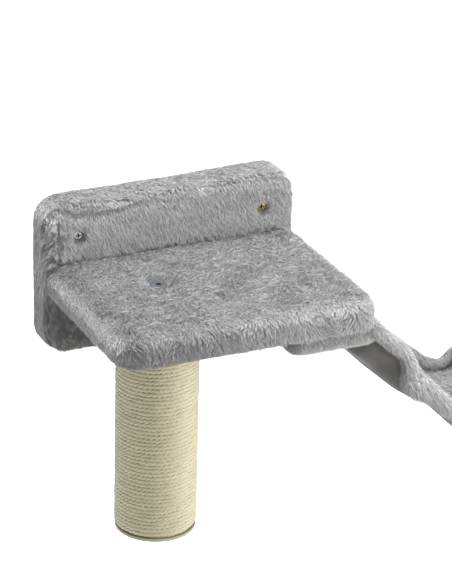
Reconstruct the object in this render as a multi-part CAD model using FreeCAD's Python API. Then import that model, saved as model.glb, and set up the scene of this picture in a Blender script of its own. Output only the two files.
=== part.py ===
import FreeCAD, Part
import math
import os

# Lengths are in millimetres and angles in degrees. X runs along the wall to the right, Y into the
# wall and Z up. The origin lies on the wall, midway between the left shelf's two wall screws.

Vector = FreeCAD.Vector

# Shelf outline, over the plush
shelf_width = 268.0
back_height = 160.0
back_depth = 40.0
back_corner_radius = 34.0
back_front_round = 13.0
back_rear_round = 4.0
back_top_above_screws = 35.0
platform_below_screws = 25.0
platform_reach = 232.0
platform_thickness = 34.0
platform_corner_radius = 36.0
platform_top_round = 12.0
platform_under_round = 7.0

# Plush layers over the boards
side_pile = 9.0
front_pile = 10.0
rear_fold = 5.0
top_pile = 10.0
under_fold = 8.0
rear_fold_border = 34.0
under_fold_border = 36.0
under_fold_rear_border = 18.0

# Wall screws
wall_screw_from_side = 34.0
wall_screw_radius = 2.5
wall_screw_shank_radius = 2.2
wall_screw_reach = 45.0
wall_screw_head_radius = 4.8
wall_screw_head_height = 2.6
wall_screw_pressed_pile = 4.0
wall_screw_dimple_radius = 8.0
cross_slot_length = 5.2
cross_slot_width = 1.2
cross_slot_depth = 1.6

# Shelf screws and dowels, from the back board into the platform board
shelf_screw_from_side = 54.0
shelf_screw_radius = 3.0
shelf_screw_length = 50.0
shelf_screw_head_radius = 5.0
shelf_screw_head_depth = 3.5
shelf_screw_socket_radius = 2.3
shelf_screw_socket_depth = 2.5
dowel_radius = 4.0
dowel_half_length = 15.0

# Staples
staple_crown = 10.0
staple_wire = 0.8
staple_leg = 8.0
platform_staple_leg = 11.0
back_staple_pitch = 40.0
back_side_staple_pitch = 30.0
platform_staple_pitch = 44.0

# Scratching post
post_from_side = 86.0
post_y = -116.0
post_length = 241.0
tube_outer_radius = 37.5
tube_inner_radius = 34.5
plug_thickness = 22.0
insert_radius = 6.0
insert_length = 18.0
insert_flange_radius = 9.0
insert_flange_thickness = 1.6
lower_thread_radius = 3.4
bolt_radius = 4.0
bolt_head_radius = 8.5
bolt_head_height = 3.2
bolt_socket_radius = 3.0
bolt_socket_depth = 2.4
bolt_length = 38.0
washer_radius = 10.5
washer_thickness = 1.6
bolt_pressed_pile = 2.5
bolt_dimple_radius = 13.0
end_cap_radius = 41.0
end_cap_thickness = 3.0
end_cap_opening_radius = 10.0

# Sisal rope
rope_radius = 2.0
rope_pitch = 4.5
rope_loops = 24
rope_end_gap = 0.6
sleeve_gap = 0.5

# Hammock ends
end_board_overhang = 8.0
end_board_length = 99.0
end_board_thickness = 25.0
end_board_top_pile = 7.0
end_board_core_thickness = 12.0
end_board_pile = 9.0
end_board_round = 9.0
end_board_corner_radius = 14.0
end_board_fold_border = 12.0
end_screw_radius = 2.25
end_screw_head_radius = 4.5
end_screw_head_height = 3.0
end_screw_hole_radius = 6.0
end_screw_grip = 10.0
end_screw_inset = 17.0
end_screw_board_edge = 8.5
end_screw_side_inset = 18.0

# Hammock
hammock_setback = 10.0
hammock_width = 150.0
hammock_half_span = 153.0
hammock_slope = 44.0
hammock_turn_radius = 46.0
hem_height = 18.0
hem_thickness = 16.0
hem_round = 5.0
bed_thickness = 8.0
bed_below_rim = 5.0
bed_end_sag = 2.0
bed_sag = 29.0
backing_thickness = 2.0
sag_starts = 24.0
sag_full = 86.0
sway_gap = 0.4

# Fits
fit = 0.1
overrun = 5.0
touch = 0.001

# Levels that the sizes above give
half_width = shelf_width / 2
wall_screw_spacing = shelf_width - wall_screw_from_side * 2
shelf_screw_spacing = half_width - shelf_screw_from_side
dowel_spacing = shelf_screw_spacing
post_x = post_from_side - half_width
back_top = back_top_above_screws
back_bottom = back_top - back_height
back_board_front = front_pile - back_depth
back_board_rear = -rear_fold
back_board_half = half_width - side_pile
back_board_low = back_bottom + side_pile
back_board_high = back_top - side_pile
platform_top = -platform_below_screws
platform_under = platform_top - platform_thickness
board_top = platform_top - top_pile
board_under = platform_under + under_fold
board_middle = (board_top + board_under) / 2
board_half = half_width - side_pile
board_front = side_pile - platform_reach
exit_x = half_width + end_board_overhang
hammock_front = hammock_setback - platform_reach
hammock_middle_x = exit_x + hammock_half_span
hammock_rear = hammock_front + hammock_width
hammock_middle_y = (hammock_front + hammock_rear) / 2
end_top = platform_under
end_bottom = end_top - end_board_thickness
end_core_top = end_top - end_board_top_pile
end_core_bottom = end_core_top - end_board_core_thickness
end_start = exit_x - end_board_length
post_bottom = board_under - post_length
tube_bottom = post_bottom + end_cap_thickness
rope_start = tube_bottom + rope_end_gap + rope_radius
rope_outer_radius = tube_outer_radius + fit + rope_radius * 2
post_axis = Vector(post_x, post_y, 0)


def block(x_low, x_high, y_low, y_high, z_low, z_high):
    """A box between two limits on each axis."""
    corner = Vector(x_low, y_low, z_low)
    return Part.makeBox(x_high - x_low, y_high - y_low, z_high - z_low, corner)


def upright(radius, z_low, z_high):
    """A round bar on the post's axis."""
    return Part.makeCylinder(radius, z_high - z_low, post_axis + Vector(0, 0, z_low))


def into_wall(radius, x, z, y_from, y_to):
    """A round bar along Y."""
    return Part.makeCylinder(radius, y_to - y_from, Vector(x, y_from, z), Vector(0, 1, 0))


def hexagon(radius):
    """Six corners in a plane, for a socket."""
    turns = [math.radians(60 * side) for side in range(6)]
    return [(radius * math.cos(turn), radius * math.sin(turn)) for turn in turns]


def in_plane(edge, axis, level):
    """True if the whole edge lies in the plane axis = level."""
    box = edge.BoundBox
    low, high = getattr(box, axis + "Min"), getattr(box, axis + "Max")
    return abs(low - level) < touch and abs(high - level) < touch


def edges_in(shape, axis, level):
    """The edges of a shape that lie in the plane axis = level."""
    return [edge for edge in shape.Edges if in_plane(edge, axis, level)]


def straight_edges(shape, axis):
    """The edges of a shape that run along one axis."""
    others = [name for name in ("X", "Y", "Z") if name != axis]
    lengths = [[getattr(edge.BoundBox, name + "Length") for name in others] for edge in shape.Edges]
    return [edge for edge, across in zip(shape.Edges, lengths) if max(across) < touch]


def mirrored(shape):
    """The same shape on the right-hand shelf."""
    return shape.mirror(Vector(hammock_middle_x, 0, 0), Vector(1, 0, 0))


# Fasteners. Each is built with extra = 0 for itself and with extra = fit for the hole it goes into.


def wall_screw_hole(x):
    """The hole that lets a wall screw's thread through the back plate."""
    seat = back_board_front - wall_screw_pressed_pile
    return into_wall(wall_screw_radius + fit, x, 0, seat, wall_screw_reach)


def wall_screw_shank(x):
    """A plain shank through the back plate and a thread behind the wall plane."""
    seat = back_board_front - wall_screw_pressed_pile
    plain = into_wall(wall_screw_shank_radius, x, 0, seat, 0)
    return plain.fuse(into_wall(wall_screw_radius, x, 0, 0, wall_screw_reach))


def wall_screw_head(x):
    """The rounded head of a wall screw, with its cross recess."""
    seat = back_board_front - wall_screw_pressed_pile
    front = seat - wall_screw_head_height
    head = into_wall(wall_screw_head_radius, x, 0, front, seat)
    head = head.makeFillet(wall_screw_head_height / 2, edges_in(head, "Y", front))
    long = cross_slot_length / 2
    short = cross_slot_width / 2
    deep = front + cross_slot_depth
    level = block(x - long, x + long, front - overrun, deep, -short, short)
    plumb = block(x - short, x + short, front - overrun, deep, -long, long)
    return head.cut(level.fuse(plumb))


def whole_wall_screw(x):
    """A wall screw with its head."""
    return wall_screw_shank(x).fuse(wall_screw_head(x)).removeSplitter()


def wall_screw_places():
    """The two places along X."""
    return (-wall_screw_spacing / 2, wall_screw_spacing / 2)


def shelf_screw(x, extra=0.0):
    """A countersunk screw from the back board's rear into the platform board."""
    tip = back_board_rear - shelf_screw_length
    shank = into_wall(shelf_screw_radius + extra, x, board_middle, tip - extra, back_board_rear)
    wide = shelf_screw_head_radius + extra
    narrow = shelf_screw_radius + extra
    seat = Vector(x, back_board_rear, board_middle)
    head = Part.makeCone(wide, narrow, shelf_screw_head_depth, seat, Vector(0, -1, 0))
    return shank.fuse(head).removeSplitter()


def shelf_screw_places():
    """The three places along X."""
    return (-shelf_screw_spacing, 0, shelf_screw_spacing)


def socketed_shelf_screw(x):
    """A shelf screw with the hexagon socket in its head."""
    corners = hexagon(shelf_screw_socket_radius)
    points = [Vector(x + across, back_board_rear, board_middle + rise) for across, rise in corners]
    face = Part.Face(Part.makePolygon(points + points[:1]))
    return shelf_screw(x).cut(face.extrude(Vector(0, -shelf_screw_socket_depth, 0)))


def dowel(x, extra=0.0):
    """A wooden dowel, half in each board."""
    reach = dowel_half_length + extra
    low, high = back_board_front - reach, back_board_front + reach
    return into_wall(dowel_radius + extra, x, board_middle, low, high)


def dowel_places():
    """The two places along X."""
    return (-dowel_spacing / 2, dowel_spacing / 2)


def end_screw_places():
    """The four places of the screws that hold the end board."""
    side = end_board_pile + end_screw_side_inset
    across = (end_start + end_board_pile + end_screw_inset, board_half - end_screw_board_edge)
    along = (hammock_front + side, hammock_rear - side)
    return [(x, y) for x in across for y in along]


def end_screw(place, extra=0.0):
    """The shank of a screw that holds the end board, up into the platform board."""
    x, y = place
    tip = board_under + end_screw_grip + extra
    return Part.makeCylinder(end_screw_radius + extra, tip - end_core_bottom, Vector(x, y, end_core_bottom))


def end_screw_head(place):
    """The head of that screw, with its cross recess."""
    x, y = place
    low = end_core_bottom - end_screw_head_height
    head = Part.makeCylinder(end_screw_head_radius, end_screw_head_height, Vector(x, y, low))
    head = head.makeFillet(end_screw_head_height / 2, edges_in(head, "Z", low))
    long = cross_slot_length / 2
    short = cross_slot_width / 2
    deep = low + cross_slot_depth
    level = block(x - long, x + long, y - short, y + short, low - overrun, deep)
    cross = block(x - short, x + short, y - long, y + long, low - overrun, deep)
    return head.cut(level.fuse(cross))


def whole_end_screw(place):
    """That screw with its head."""
    return end_screw(place).fuse(end_screw_head(place)).removeSplitter()


def staple(middle, along, inward, leg):
    """A staple whose crown lies flush with the cloth and whose legs run inward."""
    reach = along * (staple_crown / 2)
    side = along.cross(inward) * (staple_wire / 2)
    corners = [middle - reach - side, middle + reach - side, middle + reach + side, middle - reach + side]
    crown = Part.Face(Part.makePolygon(corners + corners[:1])).extrude(inward * staple_wire)
    whole = crown
    for end in (-1, 1):
        outer = middle + reach * end
        inner = outer - along * (staple_wire * end)
        foot = [outer - side, inner - side, inner + side, outer + side]
        whole = whole.fuse(Part.Face(Part.makePolygon(foot + foot[:1])).extrude(inward * leg))
    return whole.removeSplitter()


def back_staples():
    """The staples round the rear fold of the back cover."""
    inward = Vector(0, -1, 0)
    inset = rear_fold_border / 2
    high, low = back_board_high - inset, back_board_low + inset
    rows = [(high, (-1.5, -0.5, 0.5, 1.5)), (low, (-2, -1, 0, 1, 2))]
    found = []
    for level, steps in rows:
        for step in steps:
            place = Vector(step * back_staple_pitch, 0, level)
            found.append(staple(place, Vector(1, 0, 0), inward, staple_leg))
    middle = (back_board_high + back_board_low) / 2
    for side in (-1, 1):
        for step in (-0.5, 0.5):
            place = Vector(side * (back_board_half - inset), 0, middle + step * back_side_staple_pitch)
            found.append(staple(place, Vector(0, 0, 1), inward, staple_leg))
    return Part.makeCompound(found)


def platform_staples():
    """The staples along the underside fold of the platform cover."""
    inward = Vector(0, 0, 1)
    inset = (under_fold_border - side_pile) / 2
    found = []
    for step in (-2, -1, 0, 1, 2):
        place = Vector(step * platform_staple_pitch, board_front + inset, platform_under)
        found.append(staple(place, Vector(1, 0, 0), inward, platform_staple_leg))
    middle = (board_front - back_depth) / 2
    for side in (-1, 1):
        for step in (-1, 0, 1):
            place = Vector(side * (board_half - inset), middle + step * platform_staple_pitch, platform_under)
            found.append(staple(place, Vector(0, 1, 0), inward, platform_staple_leg))
    return Part.makeCompound(found)


# Shelf


def rounded_upright(half, low, high, front, rear, corner):
    """A slab that stands against the wall, with its four corners rounded."""
    slab = block(-half, half, front, rear, low, high)
    return slab.makeFillet(corner, straight_edges(slab, "Y"))


def back_board_blank():
    """The back board before its holes."""
    corner = back_corner_radius - side_pile
    return rounded_upright(
        back_board_half, back_board_low, back_board_high, back_board_front, back_board_rear, corner
    )


def platform_board_blank():
    """The platform board before its holes, with its front corners rounded."""
    slab = block(-board_half, board_half, board_front, back_board_front, board_under, board_top)
    corners = [edge for edge in straight_edges(slab, "Z") if in_plane(edge, "Y", board_front)]
    return slab.makeFillet(platform_corner_radius - side_pile, corners)


def back_board():
    """The back board, bored for its screws and dowels."""
    board = back_board_blank().cut(back_staples())
    for x in wall_screw_places():
        board = board.cut(wall_screw_hole(x))
    for x in shelf_screw_places():
        board = board.cut(shelf_screw(x, fit))
    for x in dowel_places():
        board = board.cut(dowel(x, fit))
    return board


def back_cover():
    """Plush round the back board, open at the rear and where the platform board passes."""
    slab = rounded_upright(half_width, back_bottom, back_top, -back_depth, 0, back_corner_radius)
    slab = slab.makeFillet(back_front_round, edges_in(slab, "Y", -back_depth))
    slab = slab.makeFillet(back_rear_round, edges_in(slab, "Y", 0))
    cover = slab.cut(back_board_blank()).cut(platform_board_blank())
    window_half = back_board_half - rear_fold_border
    window_low = back_board_low + rear_fold_border
    window_high = back_board_high - rear_fold_border
    cover = cover.cut(block(-window_half, window_half, back_board_rear, overrun, window_low, window_high))
    seat = back_board_front - wall_screw_pressed_pile
    for x in wall_screw_places():
        cover = cover.cut(wall_screw_hole(x))
        cover = cover.cut(into_wall(wall_screw_dimple_radius, x, 0, -back_depth - overrun, seat))
    return cover.cut(back_staples())


def platform_board(with_post):
    """The platform board, bored for its screws and dowels and for the post's bolt."""
    board = platform_board_blank().cut(platform_staples())
    for x in shelf_screw_places():
        board = board.cut(shelf_screw(x, fit))
    for x in dowel_places():
        board = board.cut(dowel(x, fit))
    for place in end_screw_places():
        board = board.cut(end_screw(place, fit))
    if with_post:
        board = board.cut(upright(bolt_radius + fit, board_under - overrun, board_top + overrun))
    return board


def platform_cover(with_post):
    """Plush round the platform board, folded onto its underside and open in the middle there."""
    slab = block(-half_width, half_width, -platform_reach, -back_depth, platform_under, platform_top)
    corners = [edge for edge in straight_edges(slab, "Z") if in_plane(edge, "Y", -platform_reach)]
    slab = slab.makeFillet(platform_corner_radius, corners)
    for level, radius in ((platform_top, platform_top_round), (platform_under, platform_under_round)):
        rim = [edge for edge in edges_in(slab, "Z", level) if not in_plane(edge, "Y", -back_depth)]
        slab = slab.makeFillet(radius, rim)
    cover = slab.cut(platform_board_blank())
    window_half = half_width - under_fold_border
    window_front = under_fold_border - platform_reach
    window_rear = -back_depth - under_fold_rear_border
    cover = cover.cut(
        block(-window_half, window_half, window_front, window_rear, platform_under - overrun, board_under)
    )
    for place in end_screw_places():
        cover = cover.cut(end_screw(place, fit))
    if with_post:
        seat = board_top + bolt_pressed_pile
        cover = cover.cut(upright(bolt_radius + fit, board_top, platform_top + overrun))
        cover = cover.cut(upright(bolt_dimple_radius, seat, platform_top + overrun))
    return cover.cut(platform_staples())


def end_block(inset, z_low, z_high):
    """A box this far inside the end board's outline."""
    y_low, y_high = hammock_front + inset, hammock_rear - inset
    return block(end_start + inset, exit_x - inset, y_low, y_high, z_low, z_high)


def end_board():
    """The stiff core under the platform that one end of the hammock is fixed to."""
    core = end_block(end_board_pile, end_core_bottom, end_core_top)
    for place in end_screw_places():
        core = core.cut(end_screw(place, fit))
    return core


def end_board_cover():
    """Plush round that core, folded onto its top."""
    slab = end_block(0, end_bottom, end_top)
    far_corners = [edge for edge in straight_edges(slab, "Z") if in_plane(edge, "X", end_start)]
    slab = slab.makeFillet(end_board_corner_radius, far_corners)
    rim = [edge for edge in edges_in(slab, "Z", end_bottom) if not in_plane(edge, "X", exit_x)]
    slab = slab.makeFillet(end_board_round, rim)
    cavity = end_block(end_board_pile, end_core_bottom, end_core_top)
    window = end_block(end_board_pile + end_board_fold_border, end_core_top, end_top + overrun)
    cover = slab.cut(cavity).cut(window)
    for x, y in end_screw_places():
        depth = end_core_bottom - end_bottom + overrun
        hole = Part.makeCylinder(end_screw_hole_radius, depth, Vector(x, y, end_bottom - overrun))
        cover = cover.cut(hole).cut(end_screw((x, y), fit))
    return cover


# Scratching post


def post_tube():
    """The tube that the rope is wound on."""
    outer = upright(tube_outer_radius, tube_bottom, board_under)
    return outer.cut(upright(tube_inner_radius, tube_bottom - overrun, board_under + overrun))


def plug(low, insert_shape):
    """A round plug in one end of the tube, with a hole for its insert."""
    disc = upright(tube_inner_radius, low, low + plug_thickness)
    through = upright(bolt_radius + fit, low - overrun, low + plug_thickness + overrun)
    return disc.cut(insert_shape).cut(through)


def threaded_insert(mouth, inward, bore):
    """A flanged sleeve whose mouth is flush with the plug, and the same sleeve without its bore."""
    direction = Vector(0, 0, inward)
    start = post_axis + Vector(0, 0, mouth)
    body = Part.makeCylinder(insert_radius, insert_length, start, direction)
    flange = Part.makeCylinder(insert_flange_radius, insert_flange_thickness, start, direction)
    solid = body.fuse(flange).removeSplitter()
    hole = Part.makeCylinder(bore, insert_length + overrun * 2, start - direction * overrun, direction)
    return solid.cut(hole), solid


def post_bolt():
    """The bolt down through the platform, with a hexagon socket."""
    seat = board_top + bolt_pressed_pile + washer_thickness
    top = seat + bolt_head_height
    head = upright(bolt_head_radius, seat, top)
    head = head.makeFillet(bolt_head_height / 3, edges_in(head, "Z", top))
    points = [post_axis + Vector(across, along, top) for across, along in hexagon(bolt_socket_radius)]
    face = Part.Face(Part.makePolygon(points + points[:1]))
    head = head.cut(face.extrude(Vector(0, 0, -bolt_socket_depth)))
    return head.fuse(upright(bolt_radius, seat - bolt_length, seat)).removeSplitter()


def post_washer():
    """The washer between that bolt's head and the plush."""
    seat = board_top + bolt_pressed_pile
    disc = upright(washer_radius, seat, seat + washer_thickness)
    return disc.cut(upright(bolt_radius + fit, seat - overrun, seat + washer_thickness + overrun))


def post_end_cap():
    """The cap that closes the lower end, open at the insert."""
    cap = upright(end_cap_radius, post_bottom, tube_bottom)
    return cap.cut(upright(end_cap_opening_radius, post_bottom - overrun, tube_bottom + overrun))


# Rope


def rope_point(turn):
    """A point on the rope's centre line and the direction there, after this many turns."""
    wind = tube_outer_radius + fit + rope_radius
    angle = math.tau * turn
    height = rope_start + rope_pitch * turn
    place = post_axis + Vector(wind * math.cos(angle), wind * math.sin(angle), height)
    heading = Vector(-wind * math.sin(angle), wind * math.cos(angle), rope_pitch / math.tau)
    return place, heading.normalize()


def arc_from(start, corner, end):
    """The arc from start to end whose tangents meet at corner."""
    chord_middle = (start + end) * 0.5
    towards = corner - chord_middle
    half_chord = (end - start).Length / 2
    bend = math.atan2(towards.Length, half_chord)
    middle = chord_middle + towards.normalize() * (half_chord * math.tan(bend / 2))
    return Part.Arc(start, middle, end).toShape()


def biarc(start, start_heading, end, end_heading):
    """Two arcs that join two points and keep the direction at each."""
    step = end - start
    both = start_heading + end_heading
    spread = 2 * (1 - start_heading.dot(end_heading))
    along = step.dot(both)
    reach = (math.sqrt(along * along + spread * step.dot(step)) - along) / spread
    first_corner = start + start_heading * reach
    last_corner = end - end_heading * reach
    joint = (first_corner + last_corner) * 0.5
    return [arc_from(start, first_corner, joint), arc_from(joint, last_corner, end)]


def rope_route():
    """The rope's centre line, as a biarc for each half turn."""
    edges = []
    for half in range(rope_loops * 2):
        start, start_heading = rope_point(half / 2)
        end, end_heading = rope_point((half + 1) / 2)
        edges += biarc(start, start_heading, end, end_heading)
    return edges


def rope_ends():
    """The straight run, one rope thickness long, at each end of the route."""
    first, first_heading = rope_point(0)
    last, last_heading = rope_point(rope_loops)
    thickness = rope_radius * 2
    before = Part.makeLine(first - first_heading * thickness, first)
    after = Part.makeLine(last, last + last_heading * thickness)
    return before, after


def least_rope_gap(edges, points_on_arc=6):
    """The least distance between neighbouring loops, measured on points of the route."""
    points = []
    for edge in edges:
        first, last = edge.ParameterRange
        points += [edge.valueAt(first + (last - first) * n / points_on_arc) for n in range(points_on_arc)]
    loop = points_on_arc * 4
    least = rope_pitch * rope_loops
    for index, point in enumerate(points):
        for other in points[index + loop * 3 // 4 : index + loop * 5 // 4]:
            least = min(least, (other - point).Length)
    return least - rope_radius * 2


def sisal_winding():
    """The lowest loops of the rope, as one unbroken tube."""
    edges = rope_route()
    print("least gap between the rope's loops, mm:", round(least_rope_gap(edges), 2))
    before, after = rope_ends()
    heading = rope_point(0)[1]
    section = Part.Wire(Part.Circle(before.Vertexes[0].Point, heading, rope_radius).toShape())
    shell = Part.BRepOffsetAPI.MakePipeShell(Part.Wire([before] + edges + [after]))
    shell.add(section)
    shell.build()
    shell.makeSolid()
    return shell.shape()


def sisal_sleeve():
    """The loops above those, as one plain sleeve."""
    low = rope_start + rope_pitch * rope_loops + rope_radius + sleeve_gap
    high = board_under - sleeve_gap
    hollow = upright(tube_outer_radius + fit, low - overrun, high + overrun)
    return upright(rope_outer_radius, low, high).cut(hollow)


# Hammock. Its cloth hangs straight at a slope from each end and turns on an arc in the middle. A
# section is drawn across that line: v along Y from the middle, w up and square to the line.


def slope_directions():
    """The direction down the line and the one up and square to it, on the left half."""
    angle = math.radians(hammock_slope)
    down = Vector(math.cos(angle), 0, -math.sin(angle))
    square = Vector(math.sin(angle), 0, math.cos(angle))
    return down, square


def straight_length():
    """The length of the straight part of the rim line."""
    angle = math.radians(hammock_slope)
    return (hammock_half_span - hammock_turn_radius * math.sin(angle)) / math.cos(angle)


def placed(distance, v, w):
    """A point of a section at this distance along the left half's line."""
    down, square = slope_directions()
    start = Vector(exit_x, hammock_middle_y, platform_under)
    return start + down * distance + Vector(0, v, 0) + square * w


def turned_and_mirrored(sections):
    """A solid through the left half's sections, round the turn and up the right half."""
    straight = Part.makeLoft(sections, True, True)
    down, square = slope_directions()
    foot = Vector(exit_x, hammock_middle_y, platform_under) + down * straight_length()
    centre = foot + square * hammock_turn_radius
    turn = Part.Face(sections[-1]).revolve(centre, Vector(0, -1, 0), hammock_slope * 2)
    whole = straight.fuse([turn, mirrored(straight)]).removeSplitter()
    low, high = exit_x + sway_gap, hammock_middle_x * 2 - exit_x - sway_gap
    room = block(low, high, hammock_front - hammock_width, overrun, post_bottom * 2, back_top)
    return whole.common(room)


def stations():
    """Distances along the line and the sag of the bed at each."""
    distances = (-hem_height, sag_starts, sag_full, straight_length())
    return list(zip(distances, (bed_end_sag, bed_end_sag, bed_sag, bed_sag)))


def band_section(distance, sag, top, thickness):
    """A curved band between the two hems."""
    half = hammock_width / 2 - hem_thickness
    low = top - thickness

    def at(v, w):
        return placed(distance, v, w)

    upper = Part.Arc(at(-half, top), at(0, top - sag), at(half, top)).toShape()
    lower = Part.Arc(at(half, low), at(0, low - sag), at(-half, low)).toShape()
    right = Part.makeLine(at(half, top), at(half, low))
    left = Part.makeLine(at(-half, low), at(-half, top))
    return Part.Wire([upper, right, lower, left])


def hammock_bed():
    """The plush that a cat lies on."""
    return turned_and_mirrored(
        [band_section(distance, sag, -bed_below_rim, bed_thickness) for distance, sag in stations()]
    )


def hammock_backing():
    """The smooth cloth under the bed."""
    top = -bed_below_rim - bed_thickness
    return turned_and_mirrored(
        [band_section(distance, sag, top, backing_thickness) for distance, sag in stations()]
    )


def hem_section(distance, v_low, v_high):
    """A rounded bar along one rim."""
    r = hem_round
    slant = r * (1 - math.sqrt(0.5))
    low, high = -hem_height, 0
    corners = [
        ((v_low, low + r), (v_low + slant, low + slant), (v_low + r, low)),
        ((v_high - r, low), (v_high - slant, low + slant), (v_high, low + r)),
        ((v_high, high - r), (v_high - slant, high - slant), (v_high - r, high)),
        ((v_low + r, high), (v_low + slant, high - slant), (v_low, high - r)),
    ]
    edges = []
    for index, (first, middle, last) in enumerate(corners):
        edges.append(Part.Arc(*[placed(distance, *point) for point in (first, middle, last)]).toShape())
        following = corners[(index + 1) % 4][0]
        edges.append(Part.makeLine(placed(distance, *last), placed(distance, *following)))
    return Part.Wire(edges)


def hammock_hem(side):
    """The plush roll along the front rim for side = -1 or the rear rim for side = 1."""
    outer = side * hammock_width / 2
    inner = outer - side * hem_thickness
    v_low, v_high = min(outer, inner), max(outer, inner)
    ends = (-hem_height, straight_length())
    return turned_and_mirrored([hem_section(distance, v_low, v_high) for distance in ends])


def left_shelf():
    """Every piece that both shelves have, as built for the left one without a post."""
    screws = [socketed_shelf_screw(x) for x in shelf_screw_places()]
    dowels = [dowel(x) for x in dowel_places()]
    end_screws = [whole_end_screw(place) for place in end_screw_places()]
    return {
        "back_board": back_board(),
        "back_cover": back_cover(),
        "back_staples": back_staples(),
        "platform_staples": platform_staples(),
        "shelf_screws": Part.makeCompound(screws),
        "dowels": Part.makeCompound(dowels),
        "end_board": end_board(),
        "end_board_cover": end_board_cover(),
        "end_board_screws": Part.makeCompound(end_screws),
    }


def all_nodes():
    """Every node of the assembly by name."""
    nodes = {}
    for name, shape in left_shelf().items():
        nodes["left_" + name] = shape
        nodes["right_" + name] = mirrored(shape)
    nodes["left_platform_board"] = platform_board(True)
    nodes["left_platform_cover"] = platform_cover(True)
    nodes["right_platform_board"] = mirrored(platform_board(False))
    nodes["right_platform_cover"] = mirrored(platform_cover(False))
    zinc_x, brass_x = wall_screw_places()
    nodes["left_wall_screw_zinc"] = whole_wall_screw(zinc_x)
    nodes["left_wall_screw_brass"] = whole_wall_screw(brass_x)
    wall_screws = Part.makeCompound([whole_wall_screw(x) for x in wall_screw_places()])
    nodes["right_wall_screws"] = mirrored(wall_screws)
    upper_insert, upper_blank = threaded_insert(board_under, -1, bolt_radius + fit)
    lower_insert, lower_blank = threaded_insert(tube_bottom, 1, lower_thread_radius)
    nodes["post_tube"] = post_tube()
    nodes["post_top_insert"] = upper_insert
    nodes["post_bottom_insert"] = lower_insert
    nodes["post_top_plug"] = plug(board_under - plug_thickness, upper_blank)
    nodes["post_bottom_plug"] = plug(tube_bottom, lower_blank)
    nodes["post_bolt"] = post_bolt()
    nodes["post_washer"] = post_washer()
    nodes["post_end_cap"] = post_end_cap()
    nodes["sisal_winding"] = sisal_winding()
    nodes["sisal_sleeve"] = sisal_sleeve()
    nodes["hammock_bed"] = hammock_bed()
    nodes["hammock_backing"] = hammock_backing()
    nodes["hammock_front_hem"] = hammock_hem(-1)
    nodes["hammock_rear_hem"] = hammock_hem(1)
    return nodes


os.makedirs("parts", exist_ok=True)
for node, shape in all_nodes().items():
    print(node, len(shape.Solids), round(shape.Volume), shape.isValid())
    shape.exportStep("parts/" + node + ".step")
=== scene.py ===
"""Cat wall furniture: two plush shelves on a wall, a sisal post and a plush hammock between them."""
import logging
import math
from contextlib import contextmanager
from dataclasses import dataclass, field, replace
from enum import Enum
from typing import Callable, Iterator, Sequence

import bmesh
import bpy
import numpy as np
from mathutils import Matrix, Vector
from mathutils.kdtree import KDTree


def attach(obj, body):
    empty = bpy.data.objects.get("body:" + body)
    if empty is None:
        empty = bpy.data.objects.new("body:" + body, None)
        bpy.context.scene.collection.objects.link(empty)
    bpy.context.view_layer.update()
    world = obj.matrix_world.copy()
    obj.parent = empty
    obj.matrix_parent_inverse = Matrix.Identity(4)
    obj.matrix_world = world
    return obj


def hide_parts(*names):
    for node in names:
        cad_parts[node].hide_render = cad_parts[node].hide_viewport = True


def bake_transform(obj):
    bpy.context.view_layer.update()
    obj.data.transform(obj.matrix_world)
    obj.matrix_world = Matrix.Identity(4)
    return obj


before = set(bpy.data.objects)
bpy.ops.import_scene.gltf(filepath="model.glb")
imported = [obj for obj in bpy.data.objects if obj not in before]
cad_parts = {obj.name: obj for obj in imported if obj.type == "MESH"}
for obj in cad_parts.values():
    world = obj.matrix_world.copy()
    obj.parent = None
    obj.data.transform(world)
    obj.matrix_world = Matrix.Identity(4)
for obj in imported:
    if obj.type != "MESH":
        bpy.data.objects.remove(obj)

log = logging.getLogger("cat_wall_furniture")

MM = 0.001
PILE_MAP = "OFBake"
GROOVE = "groove"
# Where the strands' own tints begin on the pile's tint ramp; the band below it holds strands darkened by
# painted shade
PAINTED_SHADE_ROOM = 0.4

# How far apart two places may be, in millimetres, and still be one
SAME_PLACE = 0.01

# How nearly square to a face a normal is where the face counts as flat
FLAT = 0.75

# Places on the solids, in millimetres
SHELF_SPACING = 590.0
PLATFORM_UNDER = -59.0
SLING_START = 142.0
SLING_Y = -147.0
SLING_HALF = 75.0
POST_X = -48.0
POST_Y = -116.0
BOLT_RADIUS = 8.5
WALL_SCREWS = (-100.0, 100.0)
SCREW_FACE = -36.6
# Depth behind a screw's face over which its recess and the head's rim get painted shade
RECESS_SHADE_DEPTH = 6.0

# Mesh spacing, swell and size of the lumps of padded plush, in millimetres
PADDING = (3.0, 1.3, 42.0)

# Size of the locks that plush clumps into along a seam and along an edge, in millimetres
SEAM_LOCK = 6.5
EDGE_LOCK = 6.0

Piece = bpy.types.Object
Material = bpy.types.Material
Socket = bpy.types.NodeSocket
Rows = np.ndarray
Triple = tuple[float, float, float]
Trim = Callable[[Rows, Rows], Rows]
EdgeTest = Callable[[Vector, Vector], bool]


class Side(Enum):
    """Which of the two shelves a piece belongs to."""

    LEFT = "left"
    RIGHT = "right"


class Rim(Enum):
    """Which long edge of the hammock a hem runs along."""

    FRONT = -1
    REAR = 1


class Zone(Enum):
    """Which part of a plush cover a pile grows on."""

    FACE = "face"
    EDGE = "edge"
    FLANK = "flank"


# Modelling by operators


def clear_selection() -> None:
    """Deselects every object."""
    bpy.ops.object.select_all(action="DESELECT")


def make_active(piece: Piece) -> None:
    """Selects one object alone and makes it the active one."""
    clear_selection()
    piece.select_set(True)
    bpy.context.view_layer.objects.active = piece


@contextmanager
def editing(piece: Piece, everything: bool = False) -> Iterator[None]:
    """Edit mode on one object, entered with everything selected or with nothing."""
    make_active(piece)
    bpy.ops.object.mode_set(mode="EDIT")
    bpy.context.tool_settings.mesh_select_mode = (False, True, False)
    bpy.ops.mesh.select_all(action="SELECT" if everything else "DESELECT")
    try:
        yield
    finally:
        bpy.ops.object.mode_set(mode="OBJECT")


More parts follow.
